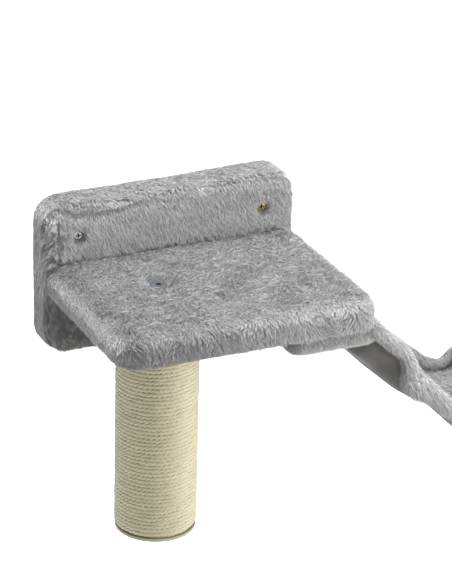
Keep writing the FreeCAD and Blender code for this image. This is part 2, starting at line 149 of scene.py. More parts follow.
def apply_modifier(piece: Piece, kind: str, **settings: object) -> None:
    """Adds one modifier and applies it.

    Args:
        piece: The object to change.
        kind: The modifier's type.
        settings: Values for the modifier's properties.
    """
    make_active(piece)
    modifier = piece.modifiers.new(kind.lower(), kind)
    for key, value in settings.items():
        setattr(modifier, key, value)
    bpy.ops.object.modifier_apply(modifier=modifier.name)


def box_between(name: str, low: Triple, high: Triple) -> Piece:
    """Adds a cube and shapes it in edit mode to fill the space between two corners.

    Args:
        name: The object's name.
        low: Lowest corner in millimetres.
        high: Highest corner in millimetres.

    Returns:
        The box, with its object at the origin.
    """
    clear_selection()
    bpy.ops.mesh.primitive_cube_add(size=1.0, location=(0.0, 0.0, 0.0))
    piece = bpy.context.object
    piece.name = name
    size = [(b - a) * MM for a, b in zip(low, high)]
    middle = [(a + b) / 2 * MM for a, b in zip(low, high)]
    with editing(piece, everything=True):
        bpy.ops.transform.resize(value=size, center_override=(0.0, 0.0, 0.0))
        bpy.ops.transform.translate(value=middle)
    return piece


def round_edges(piece: Piece, chosen: EdgeTest, radius: float) -> None:
    """Bevels the edges that a test picks.

    Args:
        piece: The object to change.
        chosen: Takes an edge's two ends, in millimetres, and says whether to round it.
        radius: The round's radius in millimetres.
    """
    with editing(piece):
        mesh = bmesh.from_edit_mesh(piece.data)
        for edge in mesh.edges:
            first, last = (vertex.co / MM for vertex in edge.verts)
            edge.select_set(chosen(first, last))
        bmesh.update_edit_mesh(piece.data)
        bpy.ops.mesh.bevel(offset=radius * MM, offset_type="OFFSET", segments=7, profile=0.5, affect="EDGES")


def runs_along(axis: int) -> EdgeTest:
    """A test for edges that run along one axis."""

    def test(first: Vector, last: Vector) -> bool:
        across = [abs(first[i] - last[i]) for i in range(3) if i != axis]
        return max(across) < SAME_PLACE

    return test


def lies_at(axis: int, level: float) -> EdgeTest:
    """A test for edges that lie in a plane square to one axis."""

    def test(first: Vector, last: Vector) -> bool:
        return max(abs(first[axis] - level), abs(last[axis] - level)) < SAME_PLACE

    return test


def remove_faces(piece: Piece, chosen: EdgeTest) -> None:
    """Deletes the faces that a test picks by their centre, in millimetres, and normal."""
    with editing(piece):
        bpy.context.tool_settings.mesh_select_mode = (False, False, True)
        mesh = bmesh.from_edit_mesh(piece.data)
        for face in mesh.faces:
            face.select_set(chosen(face.calc_center_median() / MM, face.normal))
        bmesh.update_edit_mesh(piece.data)
        bpy.ops.mesh.delete(type="FACE")


def shade_smooth(piece: Piece) -> None:
    """Smooth shading all over."""
    make_active(piece)
    bpy.ops.object.shade_smooth()


def gathered(items: Sequence[object], key: str, width: int, kind: type = float) -> Rows:
    """Reads one property of all of a mesh's items.

    Args:
        items: The vertices, loops or faces.
        key: The property's name.
        width: How many numbers it has.
        kind: The numbers' type.

    Returns:
        One row for each item.
    """
    flat = np.empty(len(items) * width, dtype=kind)
    items.foreach_get(key, flat)
    return flat.reshape(-1, width)


def points_of(piece: Piece) -> Rows:
    """A mesh's vertices in millimetres, one row each."""
    return gathered(piece.data.vertices, "co", 3) / MM


def set_points(piece: Piece, points: Rows) -> None:
    """Moves a mesh's vertices to these places, in millimetres."""
    piece.data.vertices.foreach_set("co", (points * MM).ravel())
    piece.data.update()


def report(piece: Piece) -> None:
    """Logs a piece's faces and its box in millimetres."""
    points = points_of(piece)
    low, high = points.min(axis=0).round(1), points.max(axis=0).round(1)
    log.info("%s: %d faces, %s to %s", piece.name, len(piece.data.polygons), low, high)


def dress(piece: Piece, material: Material) -> None:
    """Gives an object one material."""
    piece.data.materials.clear()
    piece.data.materials.append(material)


# Curves


def progress(values: Rows, start: float, end: float) -> Rows:
    """How far each value has come on its way from a start to an end, from 0 to 1."""
    return np.clip((values - start) / (end - start), 0, 1)


def eased(share: Rows) -> Rows:
    """A share from 0 to 1, made gentle at both ends."""
    return share * share * (3 - 2 * share)


def bell(values: Rows, middle: float | Rows, spread: float) -> Rows:
    """A bell curve, 1 at its middle."""
    return np.exp(-(((values - middle) / spread) ** 2))


# Materials


class Recipe:
    """A material's nodes, added one by one round a Principled shader."""

    def __init__(self, name: str) -> None:
        """Starts an empty material with its shader and output."""
        self.material = bpy.data.materials.new(name)
        self.material.use_nodes = True
        self.tree = self.material.node_tree
        self.tree.nodes.clear()
        self.shader = self.node("BsdfPrincipled")
        output = self.node("OutputMaterial")
        self.join(self.shader.outputs[0], output.inputs["Surface"])

    def node(self, kind: str, **values: object) -> bpy.types.Node:
        """Adds a node and sets its sockets of these names."""
        node = self.tree.nodes.new("ShaderNode" + kind)
        for key, value in values.items():
            node.inputs[key].default_value = value
        return node

    def join(self, start: Socket, end: Socket) -> None:
        """Links two sockets."""
        self.tree.links.new(start, end)

    def value(self, socket: str, value: object) -> None:
        """Sets one of the shader's own sockets."""
        self.shader.inputs[socket].default_value = value

    def colour(self, source: Socket) -> None:
        """Links a colour to the shader."""
        self.join(source, self.shader.inputs["Base Color"])

    def place(self, scale: Triple = (1.0, 1.0, 1.0), turn: Triple = (0.0, 0.0, 0.0)) -> Socket:
        """Object coordinates, turned and scaled.

        Args:
            scale: Scale on each axis.
            turn: Rotation in radians.

        Returns:
            The vector socket to read a texture at.
        """
        where = self.node("TexCoord")
        mapping = self.node("Mapping", Scale=scale, Rotation=turn)
        self.join(where.outputs["Object"], mapping.inputs["Vector"])
        return mapping.outputs[0]

    def uv(self, scale: Triple = (1.0, 1.0, 1.0)) -> Socket:
        """The piece's own map, scaled."""
        where = self.node("UVMap")
        where.uv_map = PILE_MAP
        mapping = self.node("Mapping", Scale=scale)
        self.join(where.outputs[0], mapping.inputs["Vector"])
        return mapping.outputs[0]

    def attribute(self, name: str) -> Socket:
        """A number that the piece keeps for each vertex."""
        node = self.node("Attribute")
        node.attribute_name = name
        return node.outputs["Fac"]

    def noise(self, where: Socket, scale: float, detail: float = 3.0) -> Socket:
        """Noise of one scale, as a number from 0 to 1."""
        node = self.node("TexNoise", Scale=scale, Detail=detail)
        self.join(where, node.inputs["Vector"])
        return node.outputs[0]

    def cells(self, where: Socket, scale: float) -> Socket:
        """A random colour for each cell of a Voronoi pattern."""
        node = self.node("TexVoronoi", Scale=scale)
        self.join(where, node.inputs["Vector"])
        return node.outputs["Color"]

    def ramp(self, amount: Socket, stops: Sequence[tuple[float, Triple]]) -> Socket:
        """Turns a number into a colour.

        Args:
            amount: The number.
            stops: Places from 0 to 1, each with a colour.

        Returns:
            The colour socket.
        """
        node = self.node("ValToRGB")
        bar = node.color_ramp.elements
        while len(bar) < len(stops):
            bar.new(0.5)
        for element, (spot, shade) in zip(bar, stops):
            element.position = spot
            element.color = (*shade, 1.0)
        self.join(amount, node.inputs[0])
        return node.outputs[0]

    def multiply(self, a: Socket, b: Socket) -> Socket:
        """One colour times another."""
        node = self.node("Mix", Factor=1.0)
        node.data_type = "RGBA"
        node.blend_type = "MULTIPLY"
        self.join(a, node.inputs["A"])
        self.join(b, node.inputs["B"])
        return node.outputs["Result"]

    def split(self, vector: Socket) -> bpy.types.Node:
        """A vector's three numbers."""
        node = self.node("SeparateXYZ")
        self.join(vector, node.inputs[0])
        return node

    def bump(self, height: Socket, strength: float, depth: float) -> None:
        """Bumps the surface by a height, with the depth in metres."""
        node = self.node("Bump", Strength=strength, Distance=depth)
        self.join(height, node.inputs["Height"])
        self.join(node.outputs[0], self.shader.inputs["Normal"])

    def between(self, amount: Socket, start: float, end: float, low: float = 0.0,
                high: float = 1.0) -> Socket:
        """A number carried from one range into another and held there.

        Args:
            amount: The number.
            start: Where its range starts.
            end: Where its range ends.
            low: The result at the start.
            high: The result at the end.

        Returns:
            The result.
        """
        limits = {"From Min": start, "From Max": end, "To Min": low, "To Max": high}
        node = self.node("MapRange", **limits)
        self.join(amount, node.inputs[0])
        return node.outputs[0]

    def follow(self, socket: str, amount: Socket, low: float, high: float) -> None:
        """Lets one of the shader's sockets follow a number from 0 to 1 between two limits."""
        self.join(self.between(amount, 0.0, 1.0, low, high), self.shader.inputs[socket])


def grey(level: float, warmth: float = 0.0) -> Triple:
    """A grey in linear light, warmer for a positive warmth and cooler for a negative one."""
    return (level * (1 + warmth), level, level * (1 - warmth))


@dataclass(frozen=True)
class PileFinish:
    """Strands of plush, darker at the root, each tuft a little different and each strand paler or darker by
    painted light and shade.
    """

    name: str
    root: Triple
    tip: Triple
    spread: float

    def material(self) -> Material:
        """Reads a strand's own map: across it is the tuft's tint with the strand's painted light and shade,
        along it root to tip.
        """
        recipe = Recipe(self.name)
        where = recipe.split(recipe.uv())
        along = recipe.ramp(where.outputs["Y"], [(0.0, self.root), (0.75, self.tip), (1.0, self.tip)])
        low = 1 - self.spread
        # Below the strands' own tints the ramp goes on darker, for strands given painted shade
        tints = [(0.0, grey(low * 0.6)), (PAINTED_SHADE_ROOM, grey(low)), (1.0, grey(1.0))]
        tint = recipe.ramp(where.outputs["X"], tints)
        recipe.colour(recipe.multiply(along, tint))
        recipe.value("Roughness", 0.62)
        recipe.value("Sheen Weight", 0.1)
        recipe.value("Sheen Roughness", 0.4)
        return recipe.material


@dataclass(frozen=True)
class ClothFinish:
    """Knitted ground cloth or lining with a fine nap."""

    name: str
    shades: tuple[Triple, Triple]
    nap_scale: float
    sheen: float

    def material(self) -> Material:
        """Fine knit cells over soft patches."""
        recipe = Recipe(self.name)
        where = recipe.place()
        patch = recipe.noise(where, 35.0, 4.0)
        nap = recipe.noise(recipe.place((1.0, 1.0, 0.45)), self.nap_scale, 2.0)
        shade = recipe.ramp(patch, [(0.3, self.shades[0]), (0.7, self.shades[1])])
        fine = recipe.ramp(nap, [(0.3, grey(0.82)), (0.7, grey(1.0))])
        recipe.colour(recipe.multiply(shade, fine))
        recipe.follow("Roughness", nap, 0.75, 0.95)
        recipe.value("Sheen Weight", self.sheen)
        recipe.bump(nap, 0.35, 0.0006)
        return recipe.material


@dataclass(frozen=True)
class SisalFinish:
    """Twisted sisal, with fibres that run along its strands."""

    name: str
    shades: tuple[Triple, Triple, Triple]

    def material(self) -> Material:
        """Fibres on the winding's own map, in long thin streaks, uneven turns and painted shade in the
        grooves between strands.
        """
        recipe = Recipe(self.name)
        fibre = recipe.noise(recipe.uv((90.0, 700.0, 1.0)), 1.0, 4.0)
        turn = recipe.noise(recipe.uv((6.0, 40.0, 1.0)), 1.0, 2.0)
        dark, middle, pale = self.shades
        shade = recipe.ramp(fibre, [(0.25, dark), (0.5, middle), (0.75, pale)])
        age = recipe.ramp(turn, [(0.3, grey(0.86, 0.02)), (0.7, grey(1.0))])
        # Painted shade in the grooves between the rope's strands, darkest at the deepest
        groove_shade_stops = [(0.0, grey(0.2, 0.1)), (0.35, grey(0.8)), (0.65, grey(1.0))]
        groove_shade = recipe.ramp(recipe.attribute(GROOVE), groove_shade_stops)
        aged = recipe.multiply(shade, age)
        recipe.colour(recipe.multiply(aged, groove_shade))
        recipe.follow("Roughness", fibre, 0.34, 0.58)
        recipe.value("Specular IOR Level", 0.6)
        recipe.value("Sheen Weight", 0.15)
        recipe.bump(fibre, 0.5, 0.0004)
        return recipe.material


@dataclass(frozen=True)
class MetalFinish:
    """Plated steel with fine scratches."""

    name: str
    shade: Triple
    roughness: tuple[float, float]
    face: float | None = None

    def material(self) -> Material:
        """Metal whose colour and gloss vary a little, with painted shade in the recess and on the head's rim
        behind a screw's face if it has one.
        """
        recipe = Recipe(self.name)
        scratch = recipe.noise(recipe.place((1.0, 1.0, 6.0)), 900.0, 3.0)
        stain = recipe.noise(recipe.place(), 160.0, 3.0)
        dull = tuple(channel * 0.7 for channel in self.shade)
        colour = recipe.ramp(stain, [(0.3, dull), (0.65, self.shade)])
        if self.face is not None:
            # Painted shade, darker by depth behind the screw's face: deepest in the recess and on the head's
            # rim
            along = recipe.split(recipe.place()).outputs["Y"]
            depth = recipe.between(along, self.face * MM, (self.face + RECESS_SHADE_DEPTH) * MM)
            stops = ((0.0, 1.0), (0.14, 0.42), (0.26, 0.03), (0.42, 0.4), (0.6, 1.0))
            recess_shade = recipe.ramp(depth, [(at, grey(level)) for at, level in stops])
            colour = recipe.multiply(colour, recess_shade)
        recipe.colour(colour)
        recipe.follow("Roughness", scratch, *self.roughness)
        recipe.value("Metallic", 1.0)
        recipe.bump(scratch, 0.2, 0.0001)
        return recipe.material


@dataclass(frozen=True)
class BoardFinish:
    """Wood chips, paper or turned wood, by the size and stretch of its grain."""

    name: str
    shades: tuple[Triple, Triple, Triple]
    chip_scale: float
    stretch: Triple

    def material(self) -> Material:
        """Chips of three shades with fine fibres over them."""
        recipe = Recipe(self.name)
        where = recipe.place(self.stretch)
        chip = recipe.split(recipe.cells(where, self.chip_scale))
        fine = recipe.noise(where, self.chip_scale * 4, 4.0)
        dark, middle, pale = self.shades
        shade = recipe.ramp(chip.outputs[0], [(0.1, dark), (0.5, middle), (0.9, pale)])
        fibre = recipe.ramp(fine, [(0.3, grey(0.75)), (0.7, grey(1.0))])
        recipe.colour(recipe.multiply(shade, fibre))
        recipe.follow("Roughness", fine, 0.7, 0.9)
        recipe.bump(fine, 0.3, 0.0004)
        return recipe.material


PLUSH = PileFinish("plush_pile", grey(0.265, 0.004), grey(0.378, 0.0), 0.28)
# Ground cloth: its dark grey is partly its own colour and partly painted shade for the deep gaps between
# strands
GROUND_WITH_GAP_SHADE = ClothFinish("plush_ground", (grey(0.105, 0.01), grey(0.138, 0.01)), 900.0, 0.1)
# Lining: its dark grey is partly its own colour and partly painted shade for the sling's shaded underside
LINING_WITH_PAINTED_SHADE = ClothFinish("hammock_lining", (grey(0.026, 0.08), grey(0.046, 0.08)), 700.0, 0.08)
SISAL = SisalFinish("sisal", ((0.23, 0.205, 0.105), (0.335, 0.312, 0.188), (0.39, 0.375, 0.285)))
ZINC = MetalFinish("zinc_plate", (0.62, 0.66, 0.72), (0.18, 0.34))
ZINC_SCREW = MetalFinish("zinc_screw", (0.38, 0.42, 0.43), (0.12, 0.26), SCREW_FACE)
YELLOW_SCREW = MetalFinish("yellow_screw", (0.24, 0.185, 0.09), (0.16, 0.30), SCREW_FACE)
BRASS = MetalFinish("yellow_plate", (0.46, 0.33, 0.13), (0.22, 0.40))
STEEL = MetalFinish("dark_steel", (0.085, 0.098, 0.108), (0.38, 0.55))
CHIPBOARD = BoardFinish(
    "chipboard", ((0.21, 0.14, 0.08), (0.34, 0.25, 0.15), (0.45, 0.35, 0.23)), 260.0, (1.0, 1.0, 0.6))
CARD = BoardFinish(
    "tube_card", ((0.36, 0.27, 0.17), (0.44, 0.34, 0.22), (0.50, 0.40, 0.27)), 120.0, (1.0, 1.0, 4.0))
TURNED = BoardFinish(
    "plug_wood", ((0.45, 0.32, 0.18), (0.58, 0.43, 0.26), (0.66, 0.51, 0.32)), 90.0, (1.0, 6.0, 1.0))
CAP = ClothFinish("end_cap_plastic", ((0.24, 0.22, 0.16), (0.28, 0.26, 0.19)), 1500.0, 0.0)


# Plush


class Ripple:
    """A smooth random field in space, made of waves of about one length."""

    WAVES = 20

    def __init__(self, length: float, seed: int) -> None:
        """Draws the waves.

        Args:
            length: The waves' typical length in millimetres.
            seed: Fixes the draw.
        """
        draw = np.random.default_rng(seed)
        heading = draw.normal(size=(self.WAVES, 3))
        heading /= np.linalg.norm(heading, axis=1, keepdims=True)
        self.waves = heading * (math.tau / length * draw.uniform(0.6, 1.5, (self.WAVES, 1)))
        self.starts = draw.uniform(0, math.tau, self.WAVES)

    def at(self, points: Rows) -> Rows:
        """The field at each point, mostly between -2 and 2."""
        return np.cos(points @ self.waves.T + self.starts).sum(axis=1) / math.sqrt(self.WAVES / 2)


def unit(rows: Rows) -> Rows:
    """Each row at length 1."""
    return rows / np.maximum(np.linalg.norm(rows, axis=1, keepdims=True), 1e-9)


def turned(rows: Rows, axes: Rows, angles: Rows) -> Rows:
    """Turns each row about its own axis, which is square to it, by an angle in radians."""
    angles = angles[:, None]
    return rows * np.cos(angles) + np.cross(axes, rows) * np.sin(angles)


def everywhere(roots: Rows, normals: Rows) -> Rows:
    """A trim that leaves every strand whole."""
    return np.ones(len(roots))


def no_painted_shade(roots: Rows, normals: Rows) -> Rows:
    """Leaves every strand's tint without painted light or shade."""
    return np.zeros(len(roots))


@dataclass(frozen=True)
class Pile:
    """How plush stands: its strands' number, size, lean and tufts. Lengths are in millimetres."""

    density: float = 2.3
    fine: float = 0.7
    length: float = 5.2
    width: float = 0.38
    root_lean: float = 44.0
    tip_lean: float = 70.0
    tuft: float = 1.5
    gather: float = 0.22
    swirl: float = 0.06
    comb: Triple = (0.25, -0.6, -0.8)

    def loosened(self) -> "Pile":
        """The same plush where it bends round an edge and parts into tufts."""
        return replace(self, length=self.length * 1.1, tuft=2.9, gather=0.52, swirl=0.42)

    def smoothed(self) -> "Pile":
        """The same plush where it is stretched flat over a side."""
        return replace(self, length=self.length * 0.85, root_lean=62.0, tip_lean=82.0, tuft=1.2, gather=0.12)

    def scatter(self, skin: Piece, draw: np.random.Generator) -> tuple[Rows, Rows]:
        """Roots spread evenly over a skin.

        Args:
            skin: The cloth that the pile stands on.
            draw: The source of chance.

        Returns:
            The roots in millimetres and the normals there.
        """
        mesh = skin.data
        mesh.calc_loop_triangles()
        corners = gathered(mesh.loop_triangles, "vertices", 3, np.int32)
        points = points_of(skin)
        facing = gathered(mesh.vertex_normals, "vector", 3)
        a, b, c = (points[corners[:, i]] for i in range(3))
        areas = np.linalg.norm(np.cross(b - a, c - a), axis=1) / 2
        picked = draw.choice(len(areas), int(areas.sum() * self.density), p=areas / areas.sum())
        u, v = draw.random(len(picked)), draw.random(len(picked))
        over = u + v > 1
        u[over], v[over] = 1 - u[over], 1 - v[over]
        shares = np.stack([1 - u - v, u, v], axis=1)[:, :, None]
        roots = (points[corners[picked]] * shares).sum(axis=1)
        normals = unit((facing[corners[picked]] * shares).sum(axis=1))
        return roots, normals

    def tufts(self, roots: Rows, area: float, draw: np.random.Generator) -> Rows:
        """The tuft that each strand belongs to, as a number."""
        count = max(1, min(len(roots), int(area / self.tuft**2)))
        centres = roots[draw.choice(len(roots), count, replace=False)]
        tree = KDTree(count)
        for index, centre in enumerate(centres):
            tree.insert(centre, index)
        tree.balance()
        return np.array([tree.find(root)[1] for root in roots])

    def grow(self, name: str, skin: Piece, seed: int, trim: Trim = everywhere,
             shade: Trim = no_painted_shade) -> Piece:
        """Grows tapered strands on a skin as one mesh.

        Args:
            name: The piece's name.
            skin: The cloth that the strands stand on.
            seed: Fixes the draw.
            trim: Takes roots and normals and gives each strand's share of the full length, or 0 for none.
            shade: Takes them too and gives each strand's painted light and shade, how much paler or darker
                it is drawn, about -0.5 to 0.5.

        Returns:
            The pile, with its own map for tint, painted light and shade, and height.
        """
        draw = np.random.default_rng(seed)
        roots, normals = self.scatter(skin, draw)
        area = len(roots) / self.density
        share = trim(roots, normals)
        kept = share > 0.08
        area *= kept.mean()
        roots, normals, share = roots[kept], normals[kept], share[kept]
        count = len(roots)
        comb = np.tile(np.array(self.comb), (count, 1))
        comb -= (comb * normals).sum(axis=1, keepdims=True) * normals
        comb = unit(comb + draw.normal(size=(count, 3)) * 0.02)
        swirl = Ripple(38.0, seed + 1).at(roots) * self.swirl + draw.normal(size=count) * 0.16
        swirl += Ripple(11.0, seed + 2).at(roots) * self.swirl * 0.6
        comb = turned(comb, normals, swirl)
        lift = Ripple(16.0, seed + 3).at(roots) * 2.5 + draw.normal(size=count) * 6.0
        first = np.radians(np.clip(self.root_lean + lift, 5, 80))
        second = np.radians(np.clip(self.tip_lean + lift, 20, 92))
        uneven = 1 + 0.07 * Ripple(22.0, seed + 4).at(roots) + draw.normal(size=count) * 0.14
        length = np.clip(self.length * share * uneven, 1.0, self.length * 1.4)[:, None]
        rise = normals * np.cos(first)[:, None] + comb * np.sin(first)[:, None]
        fall = normals * np.cos(second)[:, None] + comb * np.sin(second)[:, None]
        middles = roots + rise * length * 0.45
        tips = middles + fall * length * 0.55
        tuft = self.tufts(roots, area, draw)
        sizes = np.maximum(np.bincount(tuft), 1)[:, None]
        for ends, pull in ((tips, self.gather), (middles, self.gather * 0.3)):
            means = np.stack([np.bincount(tuft, ends[:, axis]) for axis in range(3)], axis=1) / sizes
            ends += (means[tuft] - ends) * pull
        across = turned(unit(np.cross(fall, normals)), unit(fall), draw.normal(size=count) * 0.6)
        wide = (self.width * draw.uniform(0.7, 1.2, count))[:, None] / 2
        tint = np.random.default_rng(seed + 5).random(len(sizes))[tuft] * 0.5 + draw.random(count) * 0.5
        # Painted light and shade added to each strand's tint
        tint = np.clip(PAINTED_SHADE_ROOM + tint * (1 - PAINTED_SHADE_ROOM) + shade(roots, normals), 0.0, 1.0)
        thin = draw.random(count) < self.fine
        feet = [roots - across * wide, roots + across * wide]
        knees = [middles + across * wide * 0.8, middles - across * wide * 0.8]
        bent = np.stack([*feet, *knees, tips], axis=1)[~thin]
        straight = np.stack([*feet, roots + (tips - roots) * 0.85], axis=1)[thin]
        return strands(name, bent, straight, np.concatenate([tint[~thin], tint[thin]]))


def strands(name: str, bent: Rows, straight: Rows, tint: Rows) -> Piece:
    """A mesh of pointed strands, mapped by tint with painted light and shade, and by height.

    Args:
        name: The piece's name.
        bent: Five corners for each bent strand, a quad and a triangle, in millimetres.
        straight: Three corners for each straight strand, one triangle.
        tint: Each strand's tint with its painted light and shade, from 0 to 1, the bent ones first.

    Returns:
        The new object.
    """
    some, many = len(bent), len(straight)
    order = np.array([0, 1, 2, 3, 3, 2, 4])
    mesh = bpy.data.meshes.new(name)
    points = np.concatenate([bent.reshape(-1, 3), straight.reshape(-1, 3)])
    mesh.vertices.add(len(points))
    mesh.vertices.foreach_set("co", (points * MM).ravel())
    corners = [(np.arange(some)[:, None] * 5 + order).ravel(), some * 5 + np.arange(many * 3)]
    mesh.loops.add(some * 7 + many * 3)
    mesh.loops.foreach_set("vertex_index", np.concatenate(corners).astype(np.int32))
    starts = [(np.arange(some)[:, None] * 7 + [0, 4]).ravel(), some * 7 + np.arange(many) * 3]
    mesh.polygons.add(some * 2 + many)
    mesh.polygons.foreach_set("loop_start", np.concatenate(starts).astype(np.int32))
    mesh.polygons.foreach_set("use_smooth", np.ones(some * 2 + many, dtype=bool))
    mesh.update(calc_edges=True)
    layer = mesh.uv_layers.new(name=PILE_MAP)
    spots = [
        strand_map(tint[:some], (-1, 1, 1, -1, -1, 1, 0), (0.01, 0.01, 0.5, 0.5, 0.5, 0.5, 0.99)),
        strand_map(tint[some:], (-1, 1, 0), (0.01, 0.01, 0.9)),
    ]
    layer.data.foreach_set("uv", np.concatenate(spots).astype(np.float32))
    mesh.validate()
    piece = bpy.data.objects.new(name, mesh)
    bpy.context.scene.collection.objects.link(piece)
    return piece


def strand_map(tint: Rows, sides: Sequence[float], heights: Sequence[float]) -> Rows:
    """Places of strands on their map, across by tint with painted light and shade and up by height, as one
    row of numbers.
    """
    spots = np.empty((len(tint), len(sides), 2))
    spots[:, :, 0] = 0.005 + tint[:, None] * 0.99 + np.array(sides) * 0.002
    spots[:, :, 1] = heights
    return spots.ravel()


def soften(piece: Piece, voxel: float, swell: float, scale: float) -> None:
    """Gives a blank an even mesh and the gentle lumps of padded plush.

    Args:
        piece: A closed blank.
        voxel: The new mesh's spacing in millimetres.
        swell: How far the lumps stand out, in millimetres.
        scale: The lumps' size in millimetres.
    """
    apply_modifier(piece, "REMESH", mode="VOXEL", voxel_size=voxel * MM)
    lumps = bpy.data.textures.new(piece.name + "_lumps", "CLOUDS")
    lumps.noise_scale = scale * MM
    lumps.noise_depth = 1
    apply_modifier(
        piece, "DISPLACE", texture=lumps, strength=swell * MM, mid_level=0.0, texture_coords="GLOBAL")
    apply_modifier(piece, "SMOOTH", factor=0.5, iterations=4)
    shade_smooth(piece)


def dent(piece: Piece, centre: Triple, axis: int, inner: float, outer: float) -> None:
    """Presses a round dent into a skin, down to one level under a fastener.

    Args:
        piece: The skin.
        centre: The dent's middle, at its floor, in millimetres.
        axis: The axis that it is pressed along.
        inner: The floor's radius in millimetres.
        outer: The radius where the skin is left as it was.
    """
    points = points_of(piece)
    apart = points - np.array(centre)
    depth = apart[:, axis].copy()
    apart[:, axis] = 0.0
    far = np.linalg.norm(apart, axis=1)
    pressed = eased(progress(far, outer, inner))
    points[:, axis] -= depth * np.where(np.abs(depth) < outer, pressed, 0.0)
    set_points(piece, points)


def close_ends(piece: Piece) -> None:
    """Closes the open ends of a tube and turns its faces outwards."""
    with editing(piece):
        bpy.ops.mesh.select_non_manifold(extend=False)
        bpy.ops.mesh.edge_face_add()
        bpy.ops.mesh.select_all(action="SELECT")
        bpy.ops.mesh.normals_make_consistent(inside=False)


def thicken(piece: Piece, thickness: float) -> None:
    """Gives an open skin its cloth's thickness, inwards, in millimetres."""
    apply_modifier(piece, "SOLIDIFY", thickness=thickness * MM, offset=-1.0)
    shade_smooth(piece)


def in_zone(zone: Zone, face: Rows, edge: Rows) -> Rows:
    """Whole strands in one zone and none elsewhere.

    Args:
        zone: The zone.
        face: Where the face is.
        edge: Where the edges are, unless the face is there.

    Returns:
        Each strand's share, 1 or 0.
    """
    edge = edge & ~face
    chosen = {Zone.FACE: face, Zone.EDGE: edge, Zone.FLANK: ~face & ~edge}[zone]
    return np.where(chosen, 1.0, 0.0)


def from_bolt(roots: Rows) -> Rows:
    """How far roots lie from the post bolt's axis."""
    return np.hypot(roots[:, 0] - POST_X, roots[:, 1] - POST_Y)


# Sub-assemblies


